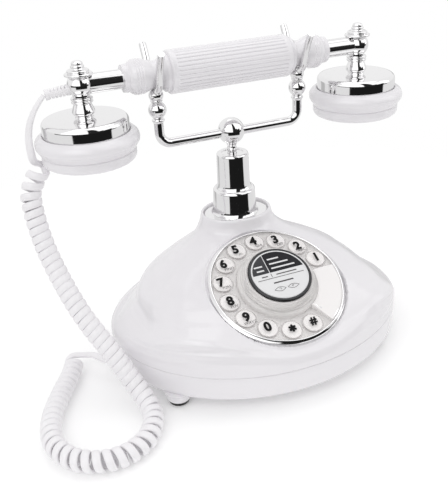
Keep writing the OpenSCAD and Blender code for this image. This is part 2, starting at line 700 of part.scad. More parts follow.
module receiver_crown() { crown(-1); }
module transmitter_crown() { crown(1); }
module receiver_cup() { cup(-1); }
module transmitter_cup() { cup(1); }
module receiver_cap() { cap(-1); }
module transmitter_cap() { cap(1); }
module receiver_capsule() { capsule(-1, 19, 10); }
module transmitter_capsule() { capsule(1, 6, 6); }

// ---- cord ---------------------------------------------------------------------------

relief_root = [-post_x - 6.6, stem_y, handset_z - 1.6];
relief_tip = [-114.4, stem_y, 180.9];
relief_r = 3.3;
relief_depth = 2.6;              // how far it is set into the post
relief_length = norm(relief_tip - relief_root) - 0.9;

module at_relief() {
    translate(relief_root) rotate([0, -90 - atan((relief_root[2] - relief_tip[2])
        / (relief_root[0] - relief_tip[0])), 0]) children();
}

// The slotted sleeve where the cord leaves the left post
module strain_relief() {
    rib = 2.1;
    color(white) at_relief() difference() {
        union() {
            translate([0, 0, -relief_depth]) cylinder(r = relief_r - 0.02, h = relief_depth + 1, $fn = 48);
            cylinder(r1 = relief_r - 0.02, r2 = relief_r - 0.4, h = relief_length - 1, $fn = 48);
            translate([0, 0, relief_length - 1.7]) cylinder(r = relief_r - 0.2, h = 1.7, $fn = 48);
        }
        for (k = [0:4], m = [-1, 1]) translate([m * relief_r, 0, 2.4 + rib * k])
            cube([3.6, 8, 0.9], center = true);
    }
}

// Route of the straight lead, from the relief down to the first curl
lead_route = [relief_tip, [-118, 27, 177], [-122, 27, 171.6], [-125.2, 27.6, 164.6],
    [-126.9, 28.6, 156], [-126.9, 30, 148], [-125.8, 31.6, 141.6]];
// Route of the middle of the curls, from the handset to the table and round to the base
curl_route = [[-124.2, 27, 137.2], [-129.2, 27, 129.6], [-132.2, 25, 120], [-131, 16, 98], [-126, 4, 76],
    [-118.3, -12, 55], [-107.4, -27, 35], [-100, -37, 20], [-95.4, -46, 11], [-94, -56, 7.2],
    [-96.4, -67, 6.9], [-103.4, -77.6, 6.9], [-114, -84, 6.9], [-126, -85.2, 6.9], [-137, -81.6, 6.9],
    [-146, -74, 6.9], [-152, -62, 6.9], [-152.4, -48, 6.9], [-148, -32, 6.9], [-139, -14, 6.9],
    [-131, 0, 6.9], [-125.4, 14, 6.9]];
// Route of the straight tail, from the last curl to the plug in the base
tail_route = [[-112.6, 9.6, 10.4], [-110.2, 5, 11], [-108.6, 0, 12.2], [-106.4, -4.6, 13.6],
    [-103, handset_jack_y, jack_z], [-101.6, handset_jack_y, jack_z]];

// Points of a route with their direction, and a side direction that turns as little as it can
function swept_frames(path, n0) =
    [for (i = 0, t = unit(path[1] - path[0]), n = unit(n0 - (n0 * t) * t);
          i < len(path);
          i = i + 1,
          t = i < len(path) ? unit(path[min(i + 1, len(path) - 1)] - path[i - 1]) : t,
          n = unit(n - (n * t) * t))
        [path[i], t, n, cross(t, n)]];

// A flat cord swept along a route. Its width points along n0 at the start, n1 at the end.
module straight_cord(route, rings, n0, n1) {
    path = [for (i = [0:rings]) spline(route, i * (len(route) - 1) / rings)];
    frames = swept_frames(path, n0);
    last = frames[rings];
    twist = atan((n1 * last[3]) / (n1 * last[2]));
    color(white) skin([for (i = [0:rings]) let (f = frames[i])
        [for (j = [0:7])
            let (v = 360 * (j + 0.5) / 8, q = twist * ease(i / rings),
                 a = cord_w / 2 * cos(v), b = cord_t / 2 * sin(v))
            f[0] + f[2] * (a * cos(q) - b * sin(q)) + f[3] * (a * sin(q) + b * cos(q))]]);
}

curl_steps = 8;                  // rings in one curl
route_samples = 8;               // points on the middle line for each piece of route
curl_out = [1, 0.3, 0];          // side of the coil on which the lead arrives
curl_mid_r = curl_r - cord_t / 2;
curl_frames = swept_frames(
    [for (i = [0:(len(curl_route) - 1) * route_samples]) spline(curl_route, i / route_samples)], curl_out);
last_sample = len(curl_frames) - 1;
function span(i) = norm(curl_frames[i + 1][0] - curl_frames[i][0]);
curl_run = [for (i = 0, s = 0; i <= last_sample; s = s + (i < last_sample ? span(i) : 0), i = i + 1) s];

// In a bend the curls touch on the inside and fan out on the outside
function bend(i) =
    let (a = max(i - 6, 0), b = min(i + 6, last_sample))
    norm(curl_frames[b][1] - curl_frames[a][1]) / (curl_run[b] - curl_run[a]);
function pitch_at(i) =
    (cord_w + curl_play) / (1 - curl_r * bend(i))
    + 2.6 * (1 - ease(curl_run[i] / 15))
    + 4 * (1 - ease((curl_run[last_sample] - curl_run[i]) / 8));
natural_turns = [for (i = 0, u = 0; i <= last_sample;
    u = u + (i < last_sample ? span(i) / pitch_at(i) : 0), i = i + 1) u];
// The last curl ends just past its top, so the count is a whole number and a part
past_top = 0.05;
end_frame = curl_frames[last_sample];
end_turn = atan2(end_frame[3][2], end_frame[2][2]) / 360;
curl_count = floor(natural_turns[last_sample] - end_turn) + end_turn + past_top;
curl_turns = natural_turns * (curl_count / natural_turns[last_sample]);
curl_ring_count = ceil(curl_count * curl_steps);

// The frame of the middle line at a number of turns
function frame_at(u) =
    let (k = max([for (j = [0:last_sample - 1]) curl_turns[j] <= u ? j : 0]),
         f = (u - curl_turns[k]) / (curl_turns[k + 1] - curl_turns[k]),
         a = curl_frames[k], b = curl_frames[k + 1])
    [mix(a[0], b[0], f), unit(mix(a[1], b[1], f)), unit(mix(a[2], b[2], f)), unit(mix(a[3], b[3], f))];
function curl_outward(f, u) = f[2] * cos(360 * u) + f[3] * sin(360 * u);
function curl_middle(u) = let (f = frame_at(u)) f[0] + curl_mid_r * curl_outward(f, u);
function curl_ring(u) =
    let (f = frame_at(u), out = curl_outward(f, u), middle = curl_middle(u))
    [for (j = [0:5]) let (v = 60 * j)
        middle + f[1] * cord_w / 2 * cos(v) + out * cord_t / 2 * sin(v) * 1.15];
curl_rings = [for (k = [0:curl_ring_count]) curl_ring(curl_count * k / curl_ring_count)];

function ring_moved(r, d) = [for (p = r) p + d];
curl_first = curl_middle(0);
curl_last = curl_middle(curl_count);
into_lead = unit(curl_first - curl_middle(0.02));
into_tail = unit(curl_last - curl_middle(curl_count - 0.02));
curl_gap = min([for (k = [0:curl_ring_count - curl_steps], d = [-1:1], a = [0:5], b = [0:5])
    k + curl_steps + d <= curl_ring_count
        ? norm(curl_rings[k][a] - curl_rings[k + curl_steps + d][b]) : 99]);
cord_break = 0.7;                // air between the cord's curls and its straight ends

module curly_cord() {
    color(white) skin(concat(
        [ring_moved(curl_rings[0], into_lead * cord_w)], curl_rings,
        [ring_moved(curl_rings[curl_ring_count], into_tail * cord_w)]));
    echo("curls", curl_count, "least gap of the curly cord to itself in mm", curl_gap);
    echo("first curl meets the lead at", curl_first + into_lead * cord_w, into_lead);
    echo("last curl meets the tail at", curl_last + into_tail * cord_w, into_tail);
}

module cord_lead() {
    end = curl_first + into_lead * (cord_w + cord_break);
    straight_cord(concat(lead_route, [end + into_lead * cord_w, end]), 36, [0, 1, 0], curl_frames[0][1]);
}

module cord_tail() {
    start = curl_last + into_tail * (cord_w + cord_break);
    straight_cord(concat([start, start + into_tail * cord_w], tail_route), 28,
        end_frame[1], [0, 1, 0]);
}

// The small plug on the tail, pushed into the jack
plug_tip_x = tail_route[len(tail_route) - 1][0];

module handset_plug() {
    seat_x = -side_r + 3 + 12;
    color("white", 0.6) translate([seat_x, handset_jack_y, jack_z]) rotate([0, -90, 0]) {
        translate([-2.7, -3.2, 0]) cube([5.4, 6.4, 11]);
        translate([-2.2, -2.6, 10.9]) cube([4.4, 5.2, seat_x - plug_tip_x - 10.9 - cord_break]);
    }
}

// ---- assembly -------------------------------------------------------------------------

base_housing();
bottom_cover();
rubber_feet();
cover_screws();
neck_plate();
lower_sleeve();
upper_sleeve();
hook_spring();
hook_switch();
main_board();
ringer_speaker();
ballast_weight();
handset_jack();
line_jack();
dial_bezel();
dial_plate();
number_wheel();
finger_stop();
dial_collar();
key_mat();
key_board();
for (i = [1:button_count])
    number_button(i);
redial_button();
redial_label();
ringer_switch();
mode_switch();
plunger_rod();
cradle_ball();
cradle_bar();
left_fork();
right_fork();
handset_grip();
handset_ferrules();
handset_tubes();
left_post();
right_post();
receiver_crown();
transmitter_crown();
receiver_cup();
transmitter_cup();
receiver_cap();
transmitter_cap();
receiver_capsule();
transmitter_capsule();
strain_relief();
cord_lead();
curly_cord();
cord_tail();
handset_plug();
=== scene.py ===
"""Looks of the cradle telephone: the visible pieces, their finishes, the stage and the camera."""

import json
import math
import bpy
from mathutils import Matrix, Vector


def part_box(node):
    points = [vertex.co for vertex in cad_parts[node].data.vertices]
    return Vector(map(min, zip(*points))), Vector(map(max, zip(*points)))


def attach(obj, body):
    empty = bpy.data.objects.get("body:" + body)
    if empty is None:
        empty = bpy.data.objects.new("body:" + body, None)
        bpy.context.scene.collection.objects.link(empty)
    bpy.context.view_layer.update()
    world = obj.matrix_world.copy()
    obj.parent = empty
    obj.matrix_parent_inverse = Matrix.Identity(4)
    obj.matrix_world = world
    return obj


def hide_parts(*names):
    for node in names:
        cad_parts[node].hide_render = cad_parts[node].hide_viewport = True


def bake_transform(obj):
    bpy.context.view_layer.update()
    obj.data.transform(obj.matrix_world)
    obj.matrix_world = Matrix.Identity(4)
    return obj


bl_info = {
    "name": "Cradle telephone",
    "version": (1, 0, 0),
    "blender": (4, 5, 0),
    "location": "View3D > Sidebar > Telephone",
    "description": "Dresses the packed frame of a push-button cradle telephone",
    "category": "Object",
}

import bmesh
import bpy
import numpy as np
from bpy.props import FloatProperty, FloatVectorProperty, IntProperty, PointerProperty
from mathutils import Matrix, Vector

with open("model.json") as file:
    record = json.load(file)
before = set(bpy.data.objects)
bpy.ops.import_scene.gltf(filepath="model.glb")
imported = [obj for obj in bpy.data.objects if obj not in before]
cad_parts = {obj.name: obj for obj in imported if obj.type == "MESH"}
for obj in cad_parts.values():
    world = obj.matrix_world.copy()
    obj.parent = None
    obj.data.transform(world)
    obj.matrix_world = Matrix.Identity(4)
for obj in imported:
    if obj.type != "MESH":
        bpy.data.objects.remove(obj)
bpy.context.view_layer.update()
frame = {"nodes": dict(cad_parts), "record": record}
NODES = frame["nodes"]

# Sizes and places in millimetres, angles in degrees
MM = 0.001
STEM_Y = 27.0
DIAL_PLACE = Matrix.Translation((0, -36.2, 57.9)) @ Matrix.Rotation(math.radians(25.4), 4, "X")
POST_X = 93.1
HANDSET_Z = 183.9
BAR_Z = 140.0
CROWN_TOP = 165.0
SIDE_R = 99.5
HALF_DEPTH = 82.0
SEAM_Z = 25.0
JACK = (-7.0, 14.5)
BUTTON_NAMES = "1234567890*#"
BUTTON_LETTERS = dict(zip("23456789", ("ABC", "DEF", "GHI", "JKL", "MNO", "PQRS", "TUV", "WXYZ")))
FIRST_BUTTON = 18.5
BUTTON_STEP = 24.2
BUTTON_CIRCLE_R = 34.6
# How far a digit sits from the middle of its cap
DIGIT_SHIFT = {"2": (-0.6, -0.4), "3": (-1.0, 0.2), "4": (-1.5, 0.2), "5": (-1.3, 0.2), "6": (-1.6, 0.3),
               "7": (-1.2, 0.1), "0": (-0.6, 0.3)}


# ---- sizes and colours that a user would change --------------------------------------


class TELEPHONE_PG_plastic(bpy.types.PropertyGroup):
    housing_colour: FloatVectorProperty(
        name="Housing colour", description="Colour of the moulded base and handset",
        subtype="COLOR", size=3, min=0, max=1, default=(0.86, 0.843, 0.868))
    cord_colour: FloatVectorProperty(
        name="Cord colour", description="Colour of the curly cord",
        subtype="COLOR", size=3, min=0, max=1, default=(0.93, 0.915, 0.935))
    gloss: FloatProperty(
        name="Housing roughness", description="Lower is shinier", min=0.02, max=0.6, default=0.2)
    flutes: IntProperty(
        name="Grip flutes", description="Flutes round the handset grip", min=20, max=44, default=32)


class TELEPHONE_PG_chrome(bpy.types.PropertyGroup):
    colour: FloatVectorProperty(
        name="Chrome colour", description="Colour of the plated pieces",
        subtype="COLOR", size=3, min=0, max=1, default=(0.86, 0.855, 0.86))


class TELEPHONE_PG_cord(bpy.types.PropertyGroup):
    width: FloatProperty(
        name="Cord width", description="Width of the flat cord",
        subtype="DISTANCE", unit="LENGTH", min=0.003, max=0.0052, default=0.0048)
    thickness: FloatProperty(
        name="Cord thickness", description="Thickness of the flat cord",
        subtype="DISTANCE", unit="LENGTH", min=0.0015, max=0.0028, default=0.0024)
    steps: IntProperty(
        name="Rings per curl", description="Fineness of the curls", min=12, max=36, default=24)


class TELEPHONE_PG_dial(bpy.types.PropertyGroup):
    digit_height: FloatProperty(
        name="Digit height", description="Height of the digits on the button caps",
        subtype="DISTANCE", unit="LENGTH", min=0.004, max=0.008, default=0.0068)


class TELEPHONE_PG_stage(bpy.types.PropertyGroup):
    brightness: FloatProperty(
        name="Studio brightness", description="Strength of the soft surrounding light",
        min=0.2, max=3, default=1.0)


# ---- mesh helpers (millimetres in, metres out) ----------------------------------------


def add_mesh(name, points, faces, material, smooth=True):
    """A new object in the scene, with its faces turned outwards."""
    mesh = bpy.data.meshes.new(name)
    mesh.from_pydata([tuple(p) for p in np.asarray(points, float) * MM], [], faces)
    mesh.materials.append(material)
    shell = bmesh.new()
    shell.from_mesh(mesh)
    bmesh.ops.recalc_face_normals(shell, faces=shell.faces)
    shell.to_mesh(mesh)
    shell.free()
    mesh.polygons.foreach_set("use_smooth", [smooth] * len(mesh.polygons))
    mesh.update()
    piece = bpy.data.objects.new(name, mesh)
    bpy.context.scene.collection.objects.link(piece)
    return piece


def loft(rings, close_start=True, close_end=True):
    """Points and faces over rings of the same number of points."""
    m = len(rings[0])
    points = np.concatenate(rings)
    faces = [(a + j, a + (j + 1) % m, a + m + (j + 1) % m, a + m + j)
             for a in range(0, len(points) - m, m) for j in range(m)]
    if close_start:
        faces.append(tuple(range(m - 1, -1, -1)))
    if close_end:
        faces.append(tuple(range(len(points) - m, len(points))))
    return points, faces


def joined(shapes):
    """Several shapes, each its points and faces, as one."""
    points, faces = [], []
    for more, more_faces in shapes:
        faces += [tuple(k + len(points) for k in face) for face in more_faces]
        points.extend(more)
    return points, faces


def arc(cx, cy, r, a, b, n):
    """Points on an arc round (cx, cy), from a to b degrees in n steps."""
    return [(cx + r * math.cos(math.radians(a + (b - a) * i / n)),
             cy + r * math.sin(math.radians(a + (b - a) * i / n))) for i in range(n + 1)]


def spot(x, y):
    """A place upright over a point of the ground."""
    return Matrix.Translation((x, y, 0))


def turned_rings(profile, steps, place):
    """Rings of a turned profile of (radius, height) points, one ring for each point."""
    w = np.radians(360.0 * np.arange(steps) / steps)
    return [placed(np.stack([r * np.cos(w), r * np.sin(w), np.full(steps, z)], 1), place) for r, z in profile]


def turned(profile, place, steps=144, ring=False):
    """A turned shape; a ring's profile runs round to where it started."""
    rings = turned_rings(profile, steps, place)
    return loft(rings + rings[:1], False, False) if ring else loft(rings)


def placed(points, place):
    """The points, moved and turned to their place."""
    p = np.asarray(points, float)
    m = np.array(place)
    return p @ m[:3, :3].T + m[:3, 3]


def finish_shape(piece, angle, bevel=0.0, segments=2):
    """Sharp edges by angle, and a small real bevel where one is asked for."""
    bpy.context.view_layer.objects.active = piece
    if bevel:
        mod = piece.modifiers.new("Edge", "BEVEL")
        mod.width = bevel * MM
        mod.segments = segments
        mod.limit_method = "ANGLE"
        mod.angle_limit = math.radians(angle)
        keep_modifiers(piece)
    piece.data.set_sharp_from_angle(angle=math.radians(angle))


def keep_modifiers(piece):
    """Applies what the modifiers make to the mesh itself."""
    bpy.context.view_layer.update()
    graph = bpy.context.evaluated_depsgraph_get()
    made = bpy.data.meshes.new_from_object(piece.evaluated_get(graph))
    piece.modifiers.clear()
    piece.data = made


def cut(piece, cutters):
    """Cuts shapes out of the piece, one after the other."""
    for points, faces in cutters:
        tool = add_mesh("cutter", points, faces, piece.data.materials[0], smooth=False)
        mod = piece.modifiers.new("Cut", "BOOLEAN")
        mod.operation = "DIFFERENCE"
        mod.solver = "EXACT"
        mod.object = tool
        keep_modifiers(piece)
        bpy.data.objects.remove(tool)


def box_shape(low, high):
    (x0, y0, z0), (x1, y1, z1) = low, high
    return loft([[(x0, y0, z), (x1, y0, z), (x1, y1, z), (x0, y1, z)] for z in (z0, z1)])


def rod_shape(place, z0, z1, r, steps=32):
    return turned([(r, z0), (r, z1)], place, steps)


def unit(v):
    return v / np.linalg.norm(v)


def ease(t):
    """A smooth step from 0 to 1."""
    c = np.clip(t, 0, 1)
    return c * c * (3 - 2 * c)


def through(points, t):
    """Points on the smooth curve through a list of points, at t = 0 to len - 1."""
    p = np.asarray(points, float)
    t = np.atleast_1d(np.asarray(t, float))
    i = np.minimum(np.floor(t).astype(int), len(p) - 2)
    f = (t - i)[:, None]
    a, b, c, d = p[np.maximum(i - 1, 0)], p[i], p[i + 1], p[np.minimum(i + 2, len(p) - 1)]
    return (b + f * (c - a) / 2 + f ** 2 * (2 * a - 5 * b + 4 * c - d) / 2
            + f ** 3 * (3 * b - a - 3 * c + d) / 2)


def steady_curve(x, rows, at):
    """Smooth values between the rows of a table, which never swing past them."""
    h = np.diff(x)[:, None]
    slope = np.diff(rows, axis=0) / h
    m = np.zeros_like(rows)
    m[0], m[-1] = slope[0], slope[-1]
    same = slope[:-1] * slope[1:] > 0
    w1, w2 = 2 * h[1:] + h[:-1], h[1:] + 2 * h[:-1]
    with np.errstate(divide="ignore", invalid="ignore"):
        inner = (w1 + w2) / (w1 / slope[:-1] + w2 / slope[1:])
    m[1:-1] = np.where(same, inner, 0)
    i = np.clip(np.searchsorted(x, at, side="right") - 1, 0, len(x) - 2)
    t = ((at - x[i]) / (x[i + 1] - x[i]))[:, None]
    hi = h[i]
    return ((2 * t ** 3 - 3 * t ** 2 + 1) * rows[i] + (t ** 3 - 2 * t ** 2 + t) * hi * m[i]
            + (-2 * t ** 3 + 3 * t ** 2) * rows[i + 1] + (t ** 3 - t ** 2) * hi * m[i + 1])


def ride_on(piece, body, slot, *replaced):
    """Puts a piece on its body and hides the nodes it stands for; the slot is not used."""
    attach(piece, body)
    if replaced:
        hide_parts(*replaced)


def make_piece(name, shape, finish, body, *replaced, slot=None, smooth=True, cutters=(), angle=40, bevel=0.0,
               segments=2):
    """A piece on its body; the slot is not used.

    A piece without an angle keeps its edges as they are made.
    """
    piece = add_mesh(name, *shape, FINISHES[finish], smooth)
    cut(piece, cutters)
    if angle:
        finish_shape(piece, angle, bevel, segments)
    ride_on(piece, body, slot or finish, *replaced)


# ---- finishes -------------------------------------------------------------------------


def surface_grain_group():
    """Cloudy colour, uneven gloss and fine height over a surface, for every moulded or plated finish."""
    name = "Surface grain"
    if name in bpy.data.node_groups:
        return bpy.data.node_groups[name]
    group = bpy.data.node_groups.new(name, "ShaderNodeTree")
    sockets = group.interface
    for label, kind, value in (
            ("Colour", "NodeSocketColor", (0.8, 0.8, 0.8, 1)),
            ("Second colour", "NodeSocketColor", (0.7, 0.7, 0.7, 1)),
            ("Cloud size", "NodeSocketFloat", 20.0),
            ("Grain size", "NodeSocketFloat", 900.0),
            ("Roughness", "NodeSocketFloat", 0.2),
            ("Roughness spread", "NodeSocketFloat", 0.05)):
        sockets.new_socket(label, in_out="INPUT", socket_type=kind).default_value = value
    for label, kind in (("Colour", "Color"), ("Roughness", "Float"), ("Height", "Float")):
        sockets.new_socket(label, in_out="OUTPUT", socket_type="NodeSocket" + kind)
    nodes, links = group.nodes, group.links
    given, out = nodes.new("NodeGroupInput"), nodes.new("NodeGroupOutput")
    place = nodes.new("ShaderNodeTexCoord")
    cloud, grain = nodes.new("ShaderNodeTexNoise"), nodes.new("ShaderNodeTexNoise")
    cloud.inputs["Detail"].default_value = 3
    grain.inputs["Detail"].default_value = 2
    for texture, size in ((cloud, "Cloud size"), (grain, "Grain size")):
        links.new(place.outputs["Object"], texture.inputs["Vector"])
        links.new(given.outputs[size], texture.inputs["Scale"])
    blend = nodes.new("ShaderNodeMix")
    blend.data_type = "RGBA"
    links.new(cloud.outputs["Fac"], blend.inputs["Factor"])
    links.new(given.outputs["Colour"], blend.inputs["A"])
    links.new(given.outputs["Second colour"], blend.inputs["B"])
    spread = nodes.new("ShaderNodeMath")
    spread.operation = "MULTIPLY_ADD"
    links.new(cloud.outputs["Fac"], spread.inputs[0])
    links.new(given.outputs["Roughness spread"], spread.inputs[1])
    links.new(given.outputs["Roughness"], spread.inputs[2])
    links.new(blend.outputs["Result"], out.inputs["Colour"])
    links.new(spread.outputs[0], out.inputs["Roughness"])
    links.new(grain.outputs["Fac"], out.inputs["Height"])
    return group


# How far the grain stands up, in metres, before each finish's own bump
GRAIN_HEIGHT = 0.0002


def finish_of(name, colour, second=None, rough=0.3, rough_spread=0.05, cloud=20.0, grain=900.0, bump=0.02,
              metal=0.0, coat=0.0, coat_rough=0.05, alpha=1.0, specular=0.5):
    """A finish with the shared surface grain; the shader's own sockets hold what is even all over."""
    material = bpy.data.materials.new(name + "_finish")
    material.use_nodes = True
    nodes, links = material.node_tree.nodes, material.node_tree.links
    shader = nodes["Principled BSDF"]
    group = nodes.new("ShaderNodeGroup")
    group.node_tree = surface_grain_group()
    second = second or tuple(c * 0.97 for c in colour)
    for label, value in (("Colour", (*colour, 1)), ("Second colour", (*second, 1)), ("Cloud size", cloud),
                         ("Grain size", grain), ("Roughness", rough), ("Roughness spread", rough_spread)):
        group.inputs[label].default_value = value
    links.new(group.outputs["Colour"], shader.inputs["Base Color"])
    links.new(group.outputs["Roughness"], shader.inputs["Roughness"])
    if bump:
        relief = nodes.new("ShaderNodeBump")
        relief.inputs["Strength"].default_value = bump
        relief.inputs["Distance"].default_value = GRAIN_HEIGHT
        links.new(group.outputs["Height"], relief.inputs["Height"])
        links.new(relief.outputs["Normal"], shader.inputs["Normal"])
    for label, value in (("Metallic", metal), ("Coat Weight", coat), ("Coat Roughness", coat_rough),
                         ("Specular IOR Level", specular), ("Alpha", alpha)):
        shader.inputs[label].default_value = value
    material.diffuse_color = (*colour, alpha)
    return material


FINISHES = {}


def make_finishes(scene):
    """Fills the table of finishes; each one's colours, gloss and grain are given here."""
    plastic = scene.telephone_plastic
    chrome = tuple(scene.telephone_chrome.colour)
    moulded = dict(colour=tuple(plastic.housing_colour), coat=0.35, bump=0.015)
    clear = dict(rough=0.05, rough_spread=0.03, coat=1.0, coat_rough=0.02, bump=0.0)
    ink = dict(rough=0.5, bump=0.0)
    label = dict(rough=0.45, bump=0.0, cloud=60, specular=0.15)
    for name, looks in {
        "housing_white": dict(moulded, rough=plastic.gloss, coat_rough=0.08, cloud=14),
        "handset_white": dict(moulded, rough=plastic.gloss + 0.03, coat_rough=0.1, cloud=22),
        "chrome": dict(colour=chrome, second=tuple(c * 0.95 for c in chrome), rough=0.045, rough_spread=0.035,
                       cloud=35, grain=700, bump=0.004, metal=1.0),
        "black_rubber": dict(colour=(0.02, 0.02, 0.02), rough=0.6, bump=0.2, grain=1500),
        "screw_steel": dict(colour=(0.55, 0.55, 0.56), metal=1.0, bump=0.05),
        "switch_black": dict(colour=(0.025, 0.025, 0.028), rough=0.4, bump=0.15, grain=2000),
        "circuit_board": dict(colour=(0.03, 0.16, 0.06), second=(0.02, 0.1, 0.04), rough=0.35, cloud=120,
                              bump=0.1),
        "ballast_iron": dict(colour=(0.12, 0.12, 0.12), second=(0.08, 0.07, 0.06), rough=0.7, cloud=90,
                             bump=0.6, grain=600),
        "jack_grey": dict(colour=(0.55, 0.55, 0.56), rough=0.4, bump=0.08),
        "dial_white": dict(colour=(0.96, 0.935, 0.93), rough=0.12, coat=0.6, coat_rough=0.03, bump=0.01),
        "clear_plastic": dict(clear, colour=(0.97, 0.94, 0.93), alpha=0.13),
        "clear_wheel": dict(clear, colour=(0.98, 0.96, 0.955), rough=0.06, alpha=0.42),
        "clear_collar": dict(clear, colour=(0.97, 0.95, 0.94), alpha=0.42),
        # Painted reflection: the chrome ring round the label gets a near-black colour that stands in for the
        # dark things it mirrors
        "redial_ring": dict(colour=(0.05, 0.05, 0.052), rough=0.12, metal=0.9, bump=0.01),
        "label_print": dict(colour=(0.78, 0.78, 0.79), coat=0.5, bump=0.0),
        "key_rubber": dict(colour=(0.45, 0.45, 0.45), rough=0.6, bump=0.1),
        "cord_white": dict(colour=tuple(plastic.cord_colour), rough=0.36, coat=0.1, bump=0.05, cloud=60,
                           grain=1600),
        "legend_black": dict(ink, colour=(0.008, 0.008, 0.009), second=(0.012, 0.012, 0.012), specular=0.1),
        "legend_grey": dict(ink, colour=(0.07, 0.065, 0.068), second=(0.12, 0.11, 0.115), specular=0.2),
        "label_dark": dict(label, colour=(0.01, 0.01, 0.012), second=(0.022, 0.022, 0.026)),
        "label_mid": dict(label, colour=(0.07, 0.07, 0.075), second=(0.035, 0.035, 0.04)),
    }.items():
        FINISHES[name] = finish_of(name, **looks)


# ---- base -----------------------------------------------------------------------------

# Levels of the housing, from the joint up: inset of the sides and their height, front edge
# and its height, inset of the back and its height, squareness of the front, middle of the
# widest line, the lift and dent at the front corners, the sag at the back corners, and how
# much the left side of the front stands above the right.
LEVELS = [
    (0, SEAM_Z, -HALF_DEPTH, SEAM_Z, 0, SEAM_Z, 2, 0, 0, 0, 0, 0),
    (0.2, 27.6, -81.8, 29.2, 0.4, 29, 2, 0, 2, 0, 1.8, 0.8),
    (1.2, 29.8, -81.2, 31.7, 1.8, 33, 2.1, 0.5, 3.2, 0, 3.6, 1.4),
    (2.8, 31.4, -80.1, 33.9, 3.9, 36, 2.2, 1, 4.2, 0.3, 4.8, 1.8),
    (4.5, 32.8, -78.4, 35.4, 5.9, 38.2, 2.4, 1.5, 5.6, 0.8, 5.6, 2),
    (5.5, 33.5, -77.4, 36.0, 6.9, 39.4, 2.5, 1.8, 6.3, 1.7, 6.1, 2),
    (6.3, 34.1, -76.2, 36.6, 7.9, 40.5, 2.6, 2, 7, 1.6, 6.6, 2),
    (7.3, 34.9, -75.0, 37.1, 8.9, 41.8, 2.7, 2.3, 7.6, 1.1, 6.7, 2),
    (9.5, 36.4, -73.2, 37.9, 10.4, 43.5, 3, 2.8, 7.8, 0.9, 6.7, 2),
    (13.5, 39, -70.2, 39.4, 12.1, 46.5, 3.5, 3.4, 7.6, 0.4, 6.2, 2),
    (17, 41.4, -66, 42.3, 14, 49.5, 3.9, 4, 7.1, 0, 5.2, 2),
    (19.6, 43.8, -60, 45.1, 15.4, 51.5, 3.7, 4.4, 6.6, 0, 3.8, 2),
    (20.8, 46.2, -54.5, 47.7, 17, 53.5, 3.5, 4.8, 5.5, 0, 1.8, 2),
    (23.6, 49.6, -46.5, 51.5, 19.4, 56, 3.4, 5.2, 4.4, 0, 0.8, 2),
    (28.9, 53.6, -37.5, 55.8, 22.5, 59.2, 3.4, 5.8, 2.5, 0, 1, 1.8),
    (35.5, 58.8, -27, 60.7, 25.8, 62.8, 3.8, 7.5, 0.8, 0, 1.6, 1.4),
    (45, 63.4, -15.5, 66.2, 29, 66.4, 3.5, 11, 0, 0, 2, 0.8),
    (55.2, 67, -6, 70.6, 31.6, 69.8, 3, 15, 0, 0, 2, 0.3),
    (63.4, 70.2, -0.2, 73.6, 33.4, 72.8, 2.6, 18.5, 0, 0, 1.4, 0),
    (69, 73.8, 3, 76, 34.6, 75.6, 2.3, 22, 0, 0, 0.6, 0),
    (72, 77, 4.4, 78.8, 35.4, 78.6, 2, 24.2, 0, 0, 0, 0),
    (74, 81, 5, 81.8, 35.8, 81.8, 2, 25.4, 0, 0, 0, 0),
    (74.9, 84.8, 5, 84.8, 36, 84.8, 2, 25.5, 0, 0, 0, 0),
]
SIDE, SIDE_Z, FRONT, FRONT_Z, BACK, BACK_Z, LIFT = 0, 1, 2, 3, 4, 5, 8
# Inset and height of the rings that close the neck at the top
NECK_RINGS = ((0.25, 85.5), (0.7, 86.0), (1.5, 86.0), (1.95, 85.6), (2.1, 82.6), (6, 82.6))
# The boss round the dial, in the dial's own frame: its rim, its reach round and below the
# dial, how softly it leaves the dome and how it falls away, and the pocket in it: its depth,
# the wall left round it and the width of the step down
DIAL_RIM_R = 44.9
DIAL_RIM_Z = -1.5
BOSS_R = 75
BOSS_LOW = -40
BOSS_BLEND = 4.0
BOSS_SLOPE, BOSS_BEND = 0.5, 0.9
POCKET_DEPTH = 9.5
POCKET_WALL = 1.2
POCKET_STEP = 1.4


def corner_share(w):
    """All at the front corners, nothing at the back and in the middle of the front."""
    a = np.where(w < 270, w - 180, 360 - w)
    return np.where(w <= 180, 0, ease(a / 55) * (1 - ease((a - 62) / 26)))


def back_share(w):
    """All at the back corners, nothing at the sides and in the middle of the back."""
    a = np.minimum(w, 180 - w)
    return np.where(w >= 180, 0, ease(a / 28) * (1 - ease((a - 50) / 35)))


def lean_share(w):
    """1 at the left of the front, -1 on the right."""
    left = ease((w - 180) / 15) * (1 - ease((w - 215) / 40))
    right = np.where(w >= 270, -ease((w - 290) / 30), ease((w - 5) / 35) - 1)
    return np.where((w > 180) & (w < 270), left, right)


def ring_at(row, w):
    """The housing's outline at one level, in the directions w."""
    side, side_z, front, front_z, back, back_z, square, middle, lift, dent, sag, lean = row
    c, s = np.cos(np.radians(w)), np.sin(np.radians(w))
    e = np.where(s < 0, 2 / square, 1.0)
    corner = corner_share(w)
    dent = dent * np.where(w < 270, 1, 0.3)
    a = side - dent * corner
    d = np.where(s < 0, middle - front, back - middle) - dent * corner
    return np.stack([
        a * np.sign(c) * np.abs(c) ** e,
        middle + d * np.sign(s) * np.abs(s) ** e,
        np.where(s < 0, front_z, back_z) * (1 - c * c) + side_z * c * c
        + lift * corner - sag * back_share(w) + lean * lean_share(w)], 1)


